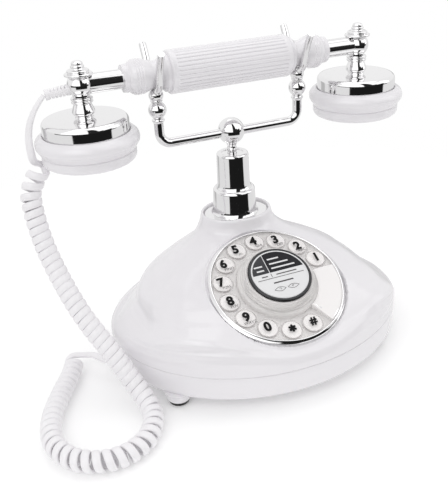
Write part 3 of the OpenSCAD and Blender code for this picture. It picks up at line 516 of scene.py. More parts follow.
def with_dial_boss(points):
    """Raises the rim round the dial out of the dome, and sinks the pocket under it."""
    local = placed(points, DIAL_PLACE.inverted())
    r = np.hypot(local[:, 0], local[:, 1])
    near = (local[:, 2] > BOSS_LOW) & (r < BOSS_R)
    past = np.maximum(r - DIAL_RIM_R, 0)
    rim = DIAL_RIM_Z - past ** 2 * BOSS_BEND - past * BOSS_SLOPE
    h = np.clip(0.5 + 0.5 * (rim - local[:, 2]) / BOSS_BLEND, 0, 1)
    raised = local[:, 2] * (1 - h) + rim * h + BOSS_BLEND * h * (1 - h)
    raised = np.where(r < DIAL_RIM_R, DIAL_RIM_Z, raised)
    sunk = DIAL_RIM_Z - POCKET_DEPTH * ease((DIAL_RIM_R - POCKET_WALL - r) / POCKET_STEP)
    height = np.where(r < DIAL_RIM_R - POCKET_WALL, sunk, raised)
    local[:, 2] = np.where(near, height, local[:, 2])
    return placed(local, DIAL_PLACE)


def housing_directions():
    """Directions of the outline's points: close together round the front, wider at the back."""
    fine = np.arange(192, 348, 0.45)
    coarse = np.arange(348, 192 + 360, 1.5) % 360
    return np.concatenate([fine, coarse])


def inset_level(row, inset, z):
    """The level moved in all round, and flat at one height."""
    made = row.copy()
    made[[SIDE, BACK]] -= inset
    made[FRONT] += inset
    made[[SIDE_Z, FRONT_Z, BACK_Z]] = z
    return made


def housing_shape():
    """The moulded housing, from the joint up to the inside of the neck."""
    w = housing_directions()
    rows = np.array(LEVELS, float)
    rows[:, SIDE] = SIDE_R - rows[:, SIDE]
    rows[:, BACK] = HALF_DEPTH - rows[:, BACK]
    step = np.diff(rows, axis=0)
    length = np.hypot(step[:, FRONT], step[:, FRONT_Z]) + 0.6 * np.hypot(step[:, SIDE], step[:, SIDE_Z])
    run = np.concatenate([[0], np.cumsum(length)])
    at = np.linspace(0, run[-1], 210)
    rings = [with_dial_boss(ring_at(row, w)) for row in steady_curve(run, rows, at)]
    foot = [inset_level(rows[0], inset, SEAM_Z) for inset in (2.5, 0.35)]
    lip = inset_level(rows[0], 0, SEAM_Z + 0.4)
    lip[LIFT] = 0.1
    neck = [inset_level(rows[-1], inset, z) for inset, z in NECK_RINGS]
    return loft([ring_at(row, w) for row in (*foot, lip)] + rings[1:] + [ring_at(row, w) for row in neck])


def pan_ring(z, grow):
    """The bottom cover's outline at one height, grown or shrunk all round."""
    steps = 240
    w = np.radians(360 * np.arange(steps) / steps)
    return np.stack([(SIDE_R + grow) * np.cos(w), (HALF_DEPTH + grow) * np.sin(w), np.full(steps, z)], 1)


FOOT_SPOTS = [(-73.5, -46.2), (63, -48), (-68, 46), (68, 46)]
SCREW_SPOTS = [(-40, -52), (40, -52), (-62, 28), (62, 28)]
SWITCH_X = (24, 44)
LINE_JACK_X = -30
JACK_HALF_H = 4.6
JACK_HALF_W, LINE_JACK_HALF_W = 5.2, 6.2
JACK_DEPTH, LINE_JACK_DEPTH = 19, 18
SWITCH_HALF_W = 5
SWITCH_SLOT_Z = (14.3, 17.7)
SCREW_WELL_R = 3.4
FOOT_BOSS = [(7.0, 2.75), (7.25, 3.2), (7.4, 6.5), (7.7, 7.6), (8.6, 8.3), (8.6, 9)]


def back_y(x):
    """Where the back of the bottom cover is, straight behind x."""
    return HALF_DEPTH * math.sqrt(1 - (x / SIDE_R) ** 2)


def cover_shape():
    """The bottom cover: the outside up to the joint, and the inside down again."""
    outside = [(8.0, -6), (8.0, -3.4), (8.25, -2.2), (8.9, -1.3), (10, -0.75), (12, -0.5), (18, -0.22),
               (24.3, 0), (24.7, -0.1), (24.9, -0.4)]
    inside = [(24.9, -2.4), (24, -2.6), (14, -3), (10.6, -5)]
    return loft([pan_ring(z, g) for z, g in outside + inside])


# ---- operators --------------------------------------------------------------------------


class PieceOperator(bpy.types.Operator):
    """Base of the operators that make the telephone's pieces"""

    bl_options = {"REGISTER", "UNDO"}


# Camera and softboxes in metres; angles are turn, tilt down and roll
CAMERA_PLACE = (-0.1664, -0.3776, 0.28153)
CAMERA_ANGLES = (-21.376, 27.354, -3.215)
CAMERA_LENS = 50.24
CAMERA_SHIFT = (-0.0043, -0.0044)
# Place, aim, size and power of each softbox
SOFTBOXES = {
    "key_softbox": ((-0.9, -0.75, 1.35), (0, 0, 0.08), (1.1, 0.9), 4.4),
    "top_softbox": ((0.25, 0.35, 1.6), (0, 0, 0.08), (1.3, 1.0), 3.2),
    "side_softbox": ((1.25, -0.35, 0.75), (0, 0, 0.1), (0.5, 1.1), 1.2),
}
# Radii of the floor's rings in millimetres
FLOOR_RINGS = (1, 100, 200, 300, 360, 420)
FLOOR_TONES = (0.955, 0.975)
FLOOR_GLOW = 0.12
# Between which radii the floor fades out, in metres
FLOOR_FADE = (0.24, 0.41)
# What chrome and gloss mirror, over an even room: bearing from and to (radians from the front,
# to the right), height from and to (sine of the elevation), brightness. Each lies over the last.
MIRRORED = {
    "Low dark band": (-1.7, 1.25, -0.15, 0.03, 0.02),
    "Back right": (2.3, 2.7, -0.35, 0.1, 0.5),
    "Back left": (-2.7, -2.35, -0.35, 0.1, 0.55),
    "Dark ground in front": (-0.85, 0.98, -0.46, 0.04, 0.012),
    "Left window": (-1.4, -0.12, 0.06, 0.9, 1.3),
    "Right window": (0.36, 1.1, 0.3, 0.9, 1.3),
    "Gap between the windows": (-0.12, 0.36, 0.0, 0.96, 0.02),
    "Gap under the right window": (0.36, 1.0, 0.0, 0.28, 0.015),
    "Dark patch right of the middle": (0.12, 0.6, -0.1, 0.4, 0.02),
}
MIRRORED_BLUR = 0.03
# Brightness of the even room below and above the horizon
ROOM_TONES = (0.86, 0.97)
# Brightness for soft light, and for the backdrop
PLAIN_TONES = {"Is Diffuse Ray": 0.74, "Is Camera Ray": 1.0}


class TELEPHONE_OT_stage(PieceOperator):
    """Pale floor, soft studio light and the camera"""

    bl_idname = "telephone.stage"
    bl_label = "Stage and camera"

    def execute(self, context):
        scene = context.scene
        scene.view_settings.view_transform = "Standard"
        make_camera(scene)
        make_floor()
        make_world(scene)
        for name, (place, aim, size, power) in SOFTBOXES.items():
            light = bpy.data.lights.new(name, "AREA")
            light.shape = "RECTANGLE"
            light.size, light.size_y = size
            light.energy = power
            lamp = bpy.data.objects.new(name, light)
            lamp.location = place
            lamp.rotation_mode = "QUATERNION"
            lamp.rotation_quaternion = (Vector(aim) - Vector(place)).to_track_quat("-Z", "Y")
            scene.collection.objects.link(lamp)
        return {"FINISHED"}


def make_camera(scene):
    yaw, pitch, roll = (math.radians(a) for a in CAMERA_ANGLES)
    back = Vector((math.sin(yaw) * math.cos(pitch), -math.cos(yaw) * math.cos(pitch), math.sin(pitch)))
    right = Vector((math.cos(yaw), math.sin(yaw), 0))
    up = back.cross(right)
    turned_right = math.cos(roll) * right + math.sin(roll) * up
    turned_up = math.cos(roll) * up - math.sin(roll) * right
    data = bpy.data.cameras.new("camera")
    data.sensor_width = 36
    data.lens = CAMERA_LENS
    data.shift_x, data.shift_y = CAMERA_SHIFT
    data.clip_start, data.clip_end = 0.01, 50
    camera = bpy.data.objects.new("camera", data)
    turn = Matrix((turned_right, turned_up, back)).transposed().to_4x4()
    camera.matrix_world = Matrix.Translation(CAMERA_PLACE) @ turn
    scene.collection.objects.link(camera)
    scene.camera = camera


def ramp(tree, value, span, tones=(0.0, 1.0), kind="SMOOTHSTEP"):
    """Turns a value that runs over a span into tones."""
    node = tree.nodes.new("ShaderNodeMapRange")
    node.interpolation_type = kind
    tree.links.new(value, node.inputs["Value"])
    for label, number in zip(("From Min", "From Max", "To Min", "To Max"), (*span, *tones)):
        node.inputs[label].default_value = number
    return node.outputs["Result"]


def make_floor():
    material = bpy.data.materials.new("floor_paper")
    material.use_nodes = True
    tree = material.node_tree
    nodes, links = tree.nodes, tree.links
    shader = nodes["Principled BSDF"]
    shader.inputs["Roughness"].default_value = 0.55
    shader.inputs["Emission Color"].default_value = (1, 1, 1, 1)
    shader.inputs["Emission Strength"].default_value = FLOOR_GLOW
    place = nodes.new("ShaderNodeTexCoord")
    noise = nodes.new("ShaderNodeTexNoise")
    noise.inputs["Scale"].default_value = 8
    links.new(place.outputs["Object"], noise.inputs["Vector"])
    links.new(ramp(tree, noise.outputs["Fac"], (0, 1), FLOOR_TONES, "LINEAR"), shader.inputs["Base Color"])
    away = nodes.new("ShaderNodeVectorMath")
    away.operation = "LENGTH"
    links.new(place.outputs["Object"], away.inputs[0])
    links.new(ramp(tree, away.outputs["Value"], FLOOR_FADE, (1, 0)), shader.inputs["Alpha"])
    rings = turned_rings([(r, 0) for r in FLOOR_RINGS], 96, Matrix())
    floor = add_mesh("floor", *loft(rings, True, False), material)
    floor.location.z = -0.0002
    floor.visible_glossy = False


def make_world(scene):
    """A white room: even for what it lights, with softboxes and dark gaps for what mirrors it."""
    world = bpy.data.worlds.new("studio")
    scene.world = world
    world.use_nodes = True
    tree = world.node_tree
    nodes, links = tree.nodes, tree.links
    nodes.clear()

    def mix_in(tone, share, value, label):
        mix = nodes.new("ShaderNodeMix")
        mix.label = label
        links.new(share, mix.inputs["Factor"])
        links.new(tone, mix.inputs["A"])
        mix.inputs["B"].default_value = value
        return mix.outputs["Result"]

    def worked_out(kind, *values):
        node = nodes.new("ShaderNodeMath")
        node.operation = kind
        for socket, value in zip(node.inputs, values):
            if isinstance(value, float):
                socket.default_value = value
            else:
                links.new(value, socket)
        return node.outputs[0]

    def between(value, low, high):
        rise = ramp(tree, value, (low - MIRRORED_BLUR, low + MIRRORED_BLUR))
        fall = ramp(tree, value, (high - MIRRORED_BLUR, high + MIRRORED_BLUR), (1, 0))
        return worked_out("MULTIPLY", rise, fall)

    place = nodes.new("ShaderNodeTexCoord")
    axes = nodes.new("ShaderNodeSeparateXYZ")
    links.new(place.outputs["Generated"], axes.inputs[0])
    x, y, z = axes.outputs
    bearing = worked_out("ARCTAN2", x, worked_out("MULTIPLY", y, -1.0))
    tone = ramp(tree, z, (-0.1, 0.2), ROOM_TONES)
    for name, (left, right, low, high, brightness) in MIRRORED.items():
        share = worked_out("MULTIPLY", between(bearing, left, right), between(z, low, high))
        tone = mix_in(tone, share, brightness, name)
    rays = nodes.new("ShaderNodeLightPath")
    for kind, brightness in PLAIN_TONES.items():
        tone = mix_in(tone, rays.outputs[kind], brightness, kind)
    shine = nodes.new("ShaderNodeBackground")
    links.new(tone, shine.inputs["Color"])
    shine.inputs["Strength"].default_value = scene.telephone_stage.brightness
    out = nodes.new("ShaderNodeOutputWorld")
    links.new(shine.outputs[0], out.inputs["Surface"])


class TELEPHONE_OT_base(PieceOperator):
    """Moulded housing with the rim for the dial, and the bottom cover with its bosses"""

    bl_idname = "telephone.base"
    bl_label = "Base"

    def execute(self, context):
        make_piece("housing", housing_shape(), "housing_white", "base", "base_housing", angle=50)

        y, z = JACK
        line_y = back_y(LINE_JACK_X)
        low, high = z - JACK_HALF_H, z + JACK_HALF_H
        cutters = [box_shape((-SIDE_R - 5, y - JACK_HALF_W, low),
                             (-SIDE_R + JACK_DEPTH, y + JACK_HALF_W, high)),
                   box_shape((LINE_JACK_X - LINE_JACK_HALF_W, line_y - LINE_JACK_DEPTH, low),
                             (LINE_JACK_X + LINE_JACK_HALF_W, line_y + 6, high))]
        low, high = SWITCH_SLOT_Z
        for x in SWITCH_X:
            shoe = back_y(x + SWITCH_HALF_W) - 5
            cutters.append(box_shape((x - SWITCH_HALF_W, shoe - 0.1, low),
                                     (x + SWITCH_HALF_W, shoe + 15.9, high)))
        cutters += [rod_shape(spot(x, y), 7, 13, SCREW_WELL_R) for x, y in SCREW_SPOTS]
        make_piece("bottom_pan", cover_shape(), "housing_white", "base", "bottom_cover", angle=50,
                   cutters=cutters)
        feet = joined(turned(FOOT_BOSS, spot(x, y), 64) for x, y in FOOT_SPOTS)
        make_piece("foot_bosses", feet, "housing_white", "base", "bottom_cover", angle=50)
        return {"FINISHED"}


def button_place(i):
    """The middle of a button, in the dial's own frame."""
    w = math.radians(FIRST_BUTTON + BUTTON_STEP * (i - 1))
    return Vector((BUTTON_CIRCLE_R * math.cos(w), BUTTON_CIRCLE_R * math.sin(w)))


# Print on the caps, in millimetres in the dial's own frame
PRINT_Z = 2.96
PRINT_THICK = 0.05
LETTERS_SHIFT = (0.9, -4.4)
LETTERS_HEIGHT = 1.9
# Font sizes before the print is scaled to its height, and the digits' bolder line beside them
DIGIT_FONT, LETTERS_FONT = 6, 3
DIGIT_BOLD = 0.3
MARK_NAMES = {"*": "star", "#": "hash"}
MARK_SHARE = {"*": 0.78, "#": 0.85}
# White card in each cap, as (radius, height)
CARD = [(0.01, 1.3), (5.5, 1.3), (5.8, 1.15), (5.8, 0.98), (0.01, 0.98)]
# Edge of the finger stop's blade, as (radius, direction); its top falls towards the rim
STOP_EDGE = ((26.4, -55.8), (30, -54.8), (34, -52.6), (38, -49.2), (41.3, -44.0), (41.35, -48.5),
             (41.3, -52.8), (41.2, -56.9), (33, -56.6), (26.5, -56.4))
STOP_INNER_R = 26.4
STOP_LENGTH = 14.9
STOP_TOP = 3.32
STOP_FALL = 1.5
STOP_FOOT = 0.3
WHEEL_LOW, WHEEL_HIGH = -1.1, 0.5
WHEEL_INNER_R, WHEEL_OUTER_R = 26.05, 41.45
WHEEL_START, WHEEL_END = 4.6, 302.4
FINGER_HOLE_R = 6.8


def lettering(name, text, size, height, centre, finish, bold=0.0):
    """Raised print on the caps, in the dial's own frame; sizes in millimetres."""
    curve = bpy.data.curves.new(name, "FONT")
    curve.body = text
    curve.size = size * MM
    curve.align_x, curve.align_y = "CENTER", "CENTER"
    curve.bevel_depth = bold * MM
    curve.extrude = PRINT_THICK / 2 * MM
    maker = bpy.data.objects.new(name + "_line", curve)
    bpy.context.scene.collection.objects.link(maker)
    bpy.context.view_layer.update()
    mesh = bpy.data.meshes.new_from_object(maker.evaluated_get(bpy.context.evaluated_depsgraph_get()))
    bpy.data.objects.remove(maker)
    co = np.array([v.co for v in mesh.vertices]) / MM
    low, high = co.min(0), co.max(0)
    co -= (low + high) / 2
    co[:, :2] *= height / (high[1] - low[1])
    co[:, 2] *= PRINT_THICK / (high[2] - low[2])
    co += np.array([*centre, PRINT_Z])
    co = placed(co, DIAL_PLACE) * MM
    mesh.vertices.foreach_set("co", co.ravel())
    mesh.materials.clear()
    mesh.materials.append(FINISHES[finish])
    mesh.update()
    piece = bpy.data.objects.new(name, mesh)
    bpy.context.scene.collection.objects.link(piece)
    return piece


class TELEPHONE_OT_dial(PieceOperator):
    """Bezel, clear wheel and collar, middle button, blade of the stop, cards and print of the caps"""

    bl_idname = "telephone.dial"
    bl_label = "Dial"

    def execute(self, context):
        self.make_bezel()
        self.make_wheel()
        self.make_middle_button()
        self.make_stop()
        height = context.scene.telephone_dial.digit_height / MM
        for i, name in enumerate(BUTTON_NAMES, 1):
            centre = button_place(i)
            key = f"number_button_{i}_key"
            card = turned(CARD, DIAL_PLACE @ spot(*centre), 48)
            make_piece(f"button_card_{i}", card, "dial_white", key)
            label = MARK_NAMES.get(name, name)
            digit_place = centre + Vector(DIGIT_SHIFT.get(name, (0, 0)))
            digit = lettering("digit_" + label, name, DIGIT_FONT, height * MARK_SHARE.get(name, 1),
                              digit_place, "legend_black", DIGIT_BOLD)
            ride_on(digit, key, "switch_black")
            if name in BUTTON_LETTERS:
                letters = lettering("letters_" + label, BUTTON_LETTERS[name], LETTERS_FONT, LETTERS_HEIGHT,
                                    centre + Vector(LETTERS_SHIFT), "legend_grey")
                ride_on(letters, key, "jack_grey")
        return {"FINISHED"}

    @staticmethod
    def make_middle_button():
        profile = [(9.0, 0.75), (20.1, 0.75), (20.1, 8.6), (19.9, 9.15), (9.0, 9.15)]
        skirt = turned(profile, DIAL_PLACE, ring=True)
        make_piece("middle_skirt", skirt, "dial_white", "redial_key", "redial_button")
        profile = ([(18.3, 9.2), (20.0, 9.2), (20.15, 9.5)] + arc(19.3, 10.3, 0.85, 0, 90, 8)
                   + [(18.6, 11.15), (18.3, 10.7)])
        # Chrome ring round the label, with its dark reflections painted into a near-black colour
        make_piece("middle_ring", turned(profile, DIAL_PLACE, ring=True), "redial_ring", "redial_key")

    @staticmethod
    def make_stop():
        """Bright blade of the finger stop, along the end of the crescent."""
        top = []
        for r, w in STOP_EDGE:
            z = STOP_TOP - STOP_FALL * (r - STOP_INNER_R) / STOP_LENGTH
            top.append((r * math.cos(math.radians(w)), r * math.sin(math.radians(w)), z))
        foot = [(x, y, STOP_FOOT) for x, y, _ in top]
        make_piece("stop_blade", loft([placed(foot, DIAL_PLACE), placed(top, DIAL_PLACE)]), "chrome", "base",
                   smooth=False, angle=30, bevel=0.35, segments=3)

    @staticmethod
    def make_bezel():
        profile = ([(41.6, -1.45)] + arc(42.2, 1.0, 0.6, 180, 32, 14) + [(43.44, 0.15)]
                   + arc(43.25, -0.35, 0.7, 28, 0, 6) + [(43.95, -1.45)])
        make_piece("bezel", turned(profile, DIAL_PLACE, 192, ring=True), "chrome", "base", "dial_bezel")
        profile = ([(20.5, -1.12), (25.9, -1.12), (25.9, 2.6)] + arc(24.5, 2.8, 1.4, 0, 80, 10)
                   + [(23.9, 4.3), (23.8, 5.0)] + arc(23.3, 5.4, 0.5, -20, 90, 6)
                   + [(22.9, 6.2), (22.8, 7.0)] + arc(22.3, 7.3, 0.5, -20, 90, 6)
                   + [(21.9, 8.2), (21.8, 9.2)] + arc(21.2, 9.3, 0.55, 0, 90, 6) + [(20.5, 9.7)])
        collar = turned(profile, DIAL_PLACE, ring=True)
        make_piece("clear_collar", collar, "clear_collar", "base", "dial_collar", slot="clear_plastic")

    @staticmethod
    def make_wheel():
        section = [(WHEEL_INNER_R, WHEEL_LOW), (WHEEL_OUTER_R, WHEEL_LOW),
                   (WHEEL_OUTER_R, WHEEL_HIGH), (WHEEL_INNER_R, WHEEL_HIGH)]
        rings = [placed([(r * math.cos(w), r * math.sin(w), z) for r, z in section], DIAL_PLACE)
                 for w in np.radians(np.linspace(WHEEL_START, WHEEL_END, 150))]
        places = [DIAL_PLACE @ spot(*button_place(i)) for i in range(1, 13)]
        holes = joined(rod_shape(place, WHEEL_LOW - 1, WHEEL_HIGH + 1, FINGER_HOLE_R, 48) for place in places)
        make_piece("clear_wheel", loft(rings), "clear_wheel", "base", "number_wheel", slot="clear_plastic",
                   smooth=False, cutters=[holes], bevel=0.3)


# The label in the middle of the dial
LABEL_Z = 11.14
LABEL_R = 17.3
LABEL_BORDER_R = 17.55
LABEL_STEPS = 96
# Printed fields: name, straight edges (a point and the way inwards) and finish
LABEL_FIELDS = (
    ("label_field_right", (((0, 2.4), (0, 1)), ((-5.6, 0), (1, 0))), "label_dark"),
    ("label_field_left", (((0, 2.4), (0, 1)), ((-6.1, 0), (-1, 0))), "label_mid"),
)
# Ruled lines: start, end, width and finish
LABEL_RULES = (
    ((-3.6, 12.2), (4.2, 12.2), 1.05, "label_print"),
    ((-3.6, 8.6), (9.2, 8.6), 1.05, "label_print"),
    ((-3.6, 5.2), (12.4, 5.2), 1.05, "label_print"),
    ((-14.2, 8.2), (-8.6, 8.2), 1.05, "label_print"),
    ((-13.6, 5.0), (-8.6, 5.0), 1.05, "label_print"),
    ((-15.6, -1.9), (15.6, -1.9), 0.35, "legend_grey"),
    ((-5.6, 1.6), (-5.6, -1.2), 0.35, "legend_grey"),
    ((-12.2, 0.2), (-8.2, 0.2), 0.7, "legend_grey"),
    ((-2.4, 0.2), (11.4, 0.2), 0.7, "legend_grey"),
    ((-6.6, -5.6), (6.6, -5.6), 0.9, "legend_grey"),
)
SCROLL_Y = -10.6


def label_field(name, edges, finish):
    """The part of the label's disc on the inner side of straight edges."""
    turns = [2 * math.pi * k / LABEL_STEPS for k in range(LABEL_STEPS)]
    outline = [Vector((LABEL_R * math.cos(w), LABEL_R * math.sin(w))) for w in turns]
    for (px, py), (nx, ny) in edges:
        kept = []
        for k, a in enumerate(outline):
            b = outline[(k + 1) % len(outline)]
            da = (a.x - px) * nx + (a.y - py) * ny
            db = (b.x - px) * nx + (b.y - py) * ny
            if da >= 0:
                kept.append(a)
            if da * db < 0:
                kept.append(a + (b - a) * (da / (da - db)))
        outline = kept
    rings = [placed([(p.x, p.y, h) for p in outline], DIAL_PLACE) for h in (LABEL_Z, LABEL_Z + 0.03)]
    make_piece(name, loft(rings), finish, "redial_key", slot="label_print", smooth=False, angle=None)


def label_stroke(name, line, width, finish, high=0.06):
    """A printed line along points on the label."""
    way = np.gradient(line, axis=0)
    side = np.stack([-way[:, 1], way[:, 0]], 1)
    side *= width / 2 / np.linalg.norm(side, axis=1)[:, None]
    rings = []
    for left, right in zip(line + side, line - side):
        ring = [(*left, LABEL_Z), (*right, LABEL_Z), (*right, LABEL_Z + high), (*left, LABEL_Z + high)]
        rings.append(placed(ring, DIAL_PLACE))
    make_piece(name, loft(rings), finish, "redial_key", slot="label_print", smooth=False, angle=None)


class TELEPHONE_OT_label(PieceOperator):
    """Printed disc in the middle of the dial, with ruled bands and a simple scroll"""

    bl_idname = "telephone.label"
    bl_label = "Middle label"

    def execute(self, context):
        for field in LABEL_FIELDS:
            label_field(*field)
        w = np.linspace(0, 2 * math.pi, 129)
        border = np.stack([LABEL_BORDER_R * np.cos(w), LABEL_BORDER_R * np.sin(w)], 1)
        label_stroke("label_outline", border, 0.55, "label_print", 0.09)
        for k, (start, end, width, finish) in enumerate(LABEL_RULES, 1):
            label_stroke(f"label_rule_{k}", np.linspace(start, end, 4), width, finish)
        t = np.linspace(0, 1, 60)
        curl = 1.0 - 0.8 * t
        for k, side in enumerate((-1, 1)):
            x = side * (0.7 + 7.6 * t)
            for n, flip in enumerate((-1, 1), 2 * k + 1):
                y = SCROLL_Y + flip * 1.7 * np.sin(np.pi * t) * (1 - 0.25 * t)
                label_stroke(f"label_scroll_{n}", np.stack([x, y], 1), 0.26, "legend_grey")
            x = side * (4.2 + curl * np.cos(5 * t + 0.6))
            y = SCROLL_Y + curl * 0.8 * np.sin(5 * t + 0.6)
            label_stroke(f"label_curl_{k + 1}", np.stack([x, y], 1), 0.22, "legend_grey")
        return {"FINISHED"}


# Half of the grip's sections: distance from the middle, share of the flutes and inset
GRIP_SECTIONS = ((35.4, 1, 0.08), (36, 0.2, 0.05), (36.4, 0, 0), (39, 0, 0), (39.7, 0, 0.35), (40, 0, 1.0))
FLUTE_DEPTH = 0.62
# The higher, the narrower the flutes between the ribs
FLUTE_SHARPNESS = 14


class TELEPHONE_OT_grip(PieceOperator):
    """Fluted grip of the handset"""

    bl_idname = "telephone.grip"
    bl_label = "Handset grip"

    def execute(self, context):
        low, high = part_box("handset_grip")
        radius = (high.z - low.z) / 2 / MM
        flutes = context.scene.telephone_plastic.flutes
        steps = flutes * 10
        w = 2 * math.pi * np.arange(steps) / steps
        groove = np.abs(np.cos(w * flutes / 2)) ** FLUTE_SHARPNESS
        rings = []
        for x, share, inset in [(-x, *rest) for x, *rest in reversed(GRIP_SECTIONS)] + list(GRIP_SECTIONS):
            r = radius - inset - FLUTE_DEPTH * share * groove
            rings.append(np.stack([np.full(steps, x), STEM_Y + r * np.cos(w), HANDSET_Z + r * np.sin(w)], 1))
        make_piece("grip", loft(rings), "handset_white", "handset", "handset_grip")
        return {"FINISHED"}


class TELEPHONE_OT_chrome(PieceOperator):
    """Turned chrome of the stem and of the handset's ends"""

    bl_idname = "telephone.chrome"
    bl_label = "Turned chrome"

    def execute(self, context):
        stem = spot(0, STEM_Y)
        profile = ([(11.3, 84.55), (11.3, 101.6), (11.7, 102.0)] + arc(12.0, 99.8, 2.2, 88, 6, 14)
                   + [(14.5, 92), (14.75, 88), (15.0, 86.4), (15.4, 85.3), (16.0, 84.7), (16.1, 84.55)])
        make_piece("sleeve_lower", turned(profile, stem, ring=True), "chrome", "base", "lower_sleeve")
        profile = ([(3.15, 101), (3.15, 125.5), (7.2, 125.5), (7.4, 126.0)] + arc(8.9, 124.6, 1.7, 100, 4, 16)
                   + [(10.75, 118), (11.0, 106), (11.1, 104.2), (11.45, 103), (12.0, 102.3), (12.1, 102.03),
                      (11.2, 101)])
        make_piece("sleeve_upper", turned(profile, stem, ring=True), "chrome", "base", "upper_sleeve")
        profile = [(max(r, 0.01), z) for r, z in arc(0, BAR_Z + 0.6, 8.7, -89, 90, 60)]
        make_piece("ball", turned(profile, stem), "chrome", "plunger", "cradle_ball")
        crown_profile = ([(0.01, 155.05), (25.95, 155.05)] + arc(22.8, 161.8, 3.2, 0, 90, 20)
                         + [(0.01, CROWN_TOP)])
        for side, end, cap in ((-1, "left", "receiver"), (1, "right", "transmitter")):
            place = spot(side * POST_X, STEM_Y)
            crown, post = turned(crown_profile, place, 192), turned(self.post_profile(), place, 128)
            make_piece(f"crown_{end}", crown, "chrome", "handset", f"{cap}_crown")
            make_piece(f"post_{end}", post, "chrome", "handset", f"{end}_post")
        return {"FINISHED"}

    @staticmethod
    def post_profile():
        """A post from the crown up: vase, rings, ball for the grip's end, and knob."""
        c, z = CROWN_TOP, HANDSET_Z
        vase = [(5.7, c), (5.4, c + 1), (6.8, c + 2.8), (6.5, c + 4.8), (5.3, c + 7.8), (5.1, c + 8.4)]
        return ([(0.01, c - 0.05), (5.7, c - 0.05)] + list(through(vase, np.linspace(0, 5, 31)))
                + arc(5.5, c + 9.4, 0.95, -60, 70, 8) + [(5.5, c + 10.3)]
                + arc(5.6, c + 11.2, 0.95, -70, 60, 8) + [(5.1, c + 12.4)]
                + arc(0, z, 7.5, -48, 50, 30) + [(4.7, z + 6.0)]
                + arc(7.5, z + 6.35, 0.8, -100, 100, 12) + [(6.2, z + 7.3)]
                + arc(5.7, z + 8.2, 0.8, -50, 90, 10) + [(4.5, z + 9.2), (3.7, z + 9.8)]
                + arc(3.2, z + 10.8, 0.8, -60, 65, 8) + [(3.2, z + 11.7)]
                + arc(1.6, z + 12.2, 1.7, -5, 88, 14) + [(0.01, z + 13.9)])


FORK_X = 48.2
PRONG_R = 2.25
# The prongs bend round the grip for the turn, then flare outwards on a wider bend
PRONG_BEND_R = 10.65
PRONG_FLARE_R = 54.0
PRONG_TURN = 75.0


class TELEPHONE_OT_forks(PieceOperator):
    """Forks with round prongs, cut flat on top"""

    bl_idname = "telephone.forks"
    bl_label = "Forks"

    def execute(self, context):
        top = HANDSET_Z - 8.3
        profile = ([(0.01, 154), (3.3, 154)] + arc(3.1, 155.6, 0.9, -60, 60, 6) + [(3.2, 156.9)]
                   + arc(0, 162, 5.6, -60, 60, 20) + [(3.0, 167)] + arc(3.0, 167.8, 0.8, -70, 70, 6)
                   + arc(0, top - 4.5, 4.5, -50, 86, 20) + [(0.01, top)])
        prongs = [self.prong_ring(a) for a in np.linspace(96, -96, 97)]
        for side, end in ((-1, "left"), (1, "right")):
            place = spot(side * FORK_X, STEM_Y)
            shape = joined([turned(profile, place, 64), loft([placed(r, place) for r in prongs])])
            make_piece(f"fork_{end}", shape, "chrome", "plunger", f"{end}_fork", angle=35)
        return {"FINISHED"}

    @staticmethod
    def prong_ring(a):
        """The round section of the prongs at a degrees from the bottom of the bend."""
        b = abs(a)
        h = math.radians(b if b <= PRONG_TURN else 2 * PRONG_TURN - b)
        t = math.radians(min(b, PRONG_TURN))
        py = PRONG_BEND_R * math.sin(t) + PRONG_FLARE_R * (math.sin(t) - math.sin(h))
        pz = -PRONG_BEND_R * math.cos(t) + PRONG_FLARE_R * (math.cos(h) - math.cos(t))
        v = np.radians(np.arange(0, 360, 15))
        rod = PRONG_R * (1 if b < 95.5 else 0.93)
        return np.stack([rod * np.cos(v), math.copysign(1, a) * (py - rod * np.sin(v) * math.sin(h)),
                         HANDSET_Z + pz + rod * np.sin(v) * math.cos(h)], 1)


# ---- cord -------------------------------------------------------------------------------

RELIEF_TIP = (-114.4, STEM_Y, 180.9)
LEAD_ROUTE = [RELIEF_TIP, (-118, 27, 177), (-122, 27, 171.6), (-125.2, 27.6, 164.6),
              (-126.9, 28.6, 156), (-126.9, 30, 148), (-125.8, 31.6, 141.6)]
CURL_ROUTE = [(-124.2, 27, 137.2), (-129.2, 27, 129.6), (-132.2, 25, 120), (-131, 16, 98), (-126, 4, 76),
              (-118.3, -12, 55), (-107.4, -27, 35), (-100, -37, 20), (-95.4, -46, 11), (-94, -56, 7.2),
              (-96.4, -67, 6.9), (-103.4, -77.6, 6.9), (-114, -84, 6.9), (-126, -85.2, 6.9),
              (-137, -81.6, 6.9), (-146, -74, 6.9), (-152, -62, 6.9), (-152.4, -48, 6.9), (-148, -32, 6.9),
              (-139, -14, 6.9), (-131, 0, 6.9), (-125.4, 14, 6.9)]
TAIL_ROUTE = [(-112.6, 9.6, 10.4), (-110.2, 5, 11), (-108.6, 0, 12.2), (-106.4, -4.6, 13.6),
              (-103, -7, 14.5), (-101.6, -7, 14.5)]
CURL_R = 6.6
SOLID_W = 3.8
SOLID_T = 2.4
# Gap between one curl and the next
CURL_PLAY = 0.8
# Keeps the wide band within the solid's box
CURL_INSET = 0.3
CURL_MID_R = CURL_R - SOLID_T / 2
# Wider pitch at the first and at the last curl, and how far along the cord it lasts
FIRST_OPEN, FIRST_REACH = 2.6, 15
LAST_OPEN, LAST_REACH = 4, 8
# How many points each way the bend of the route is measured over
BEND_WINDOW = 6
# The last curl ends this part of a turn past its top
LAST_TURN = 0.05
# Part of a turn that shows which way the band runs at its ends
NUDGE = 0.02
LEAD_STEPS, TAIL_STEPS = 70, 60
# Below 1 the band's section is squarer than an oval: across its width and its thickness
BAND_SQUARE = (0.7, 0.85)
SIDEWAYS = np.array([0.0, 1.0, 0.0])


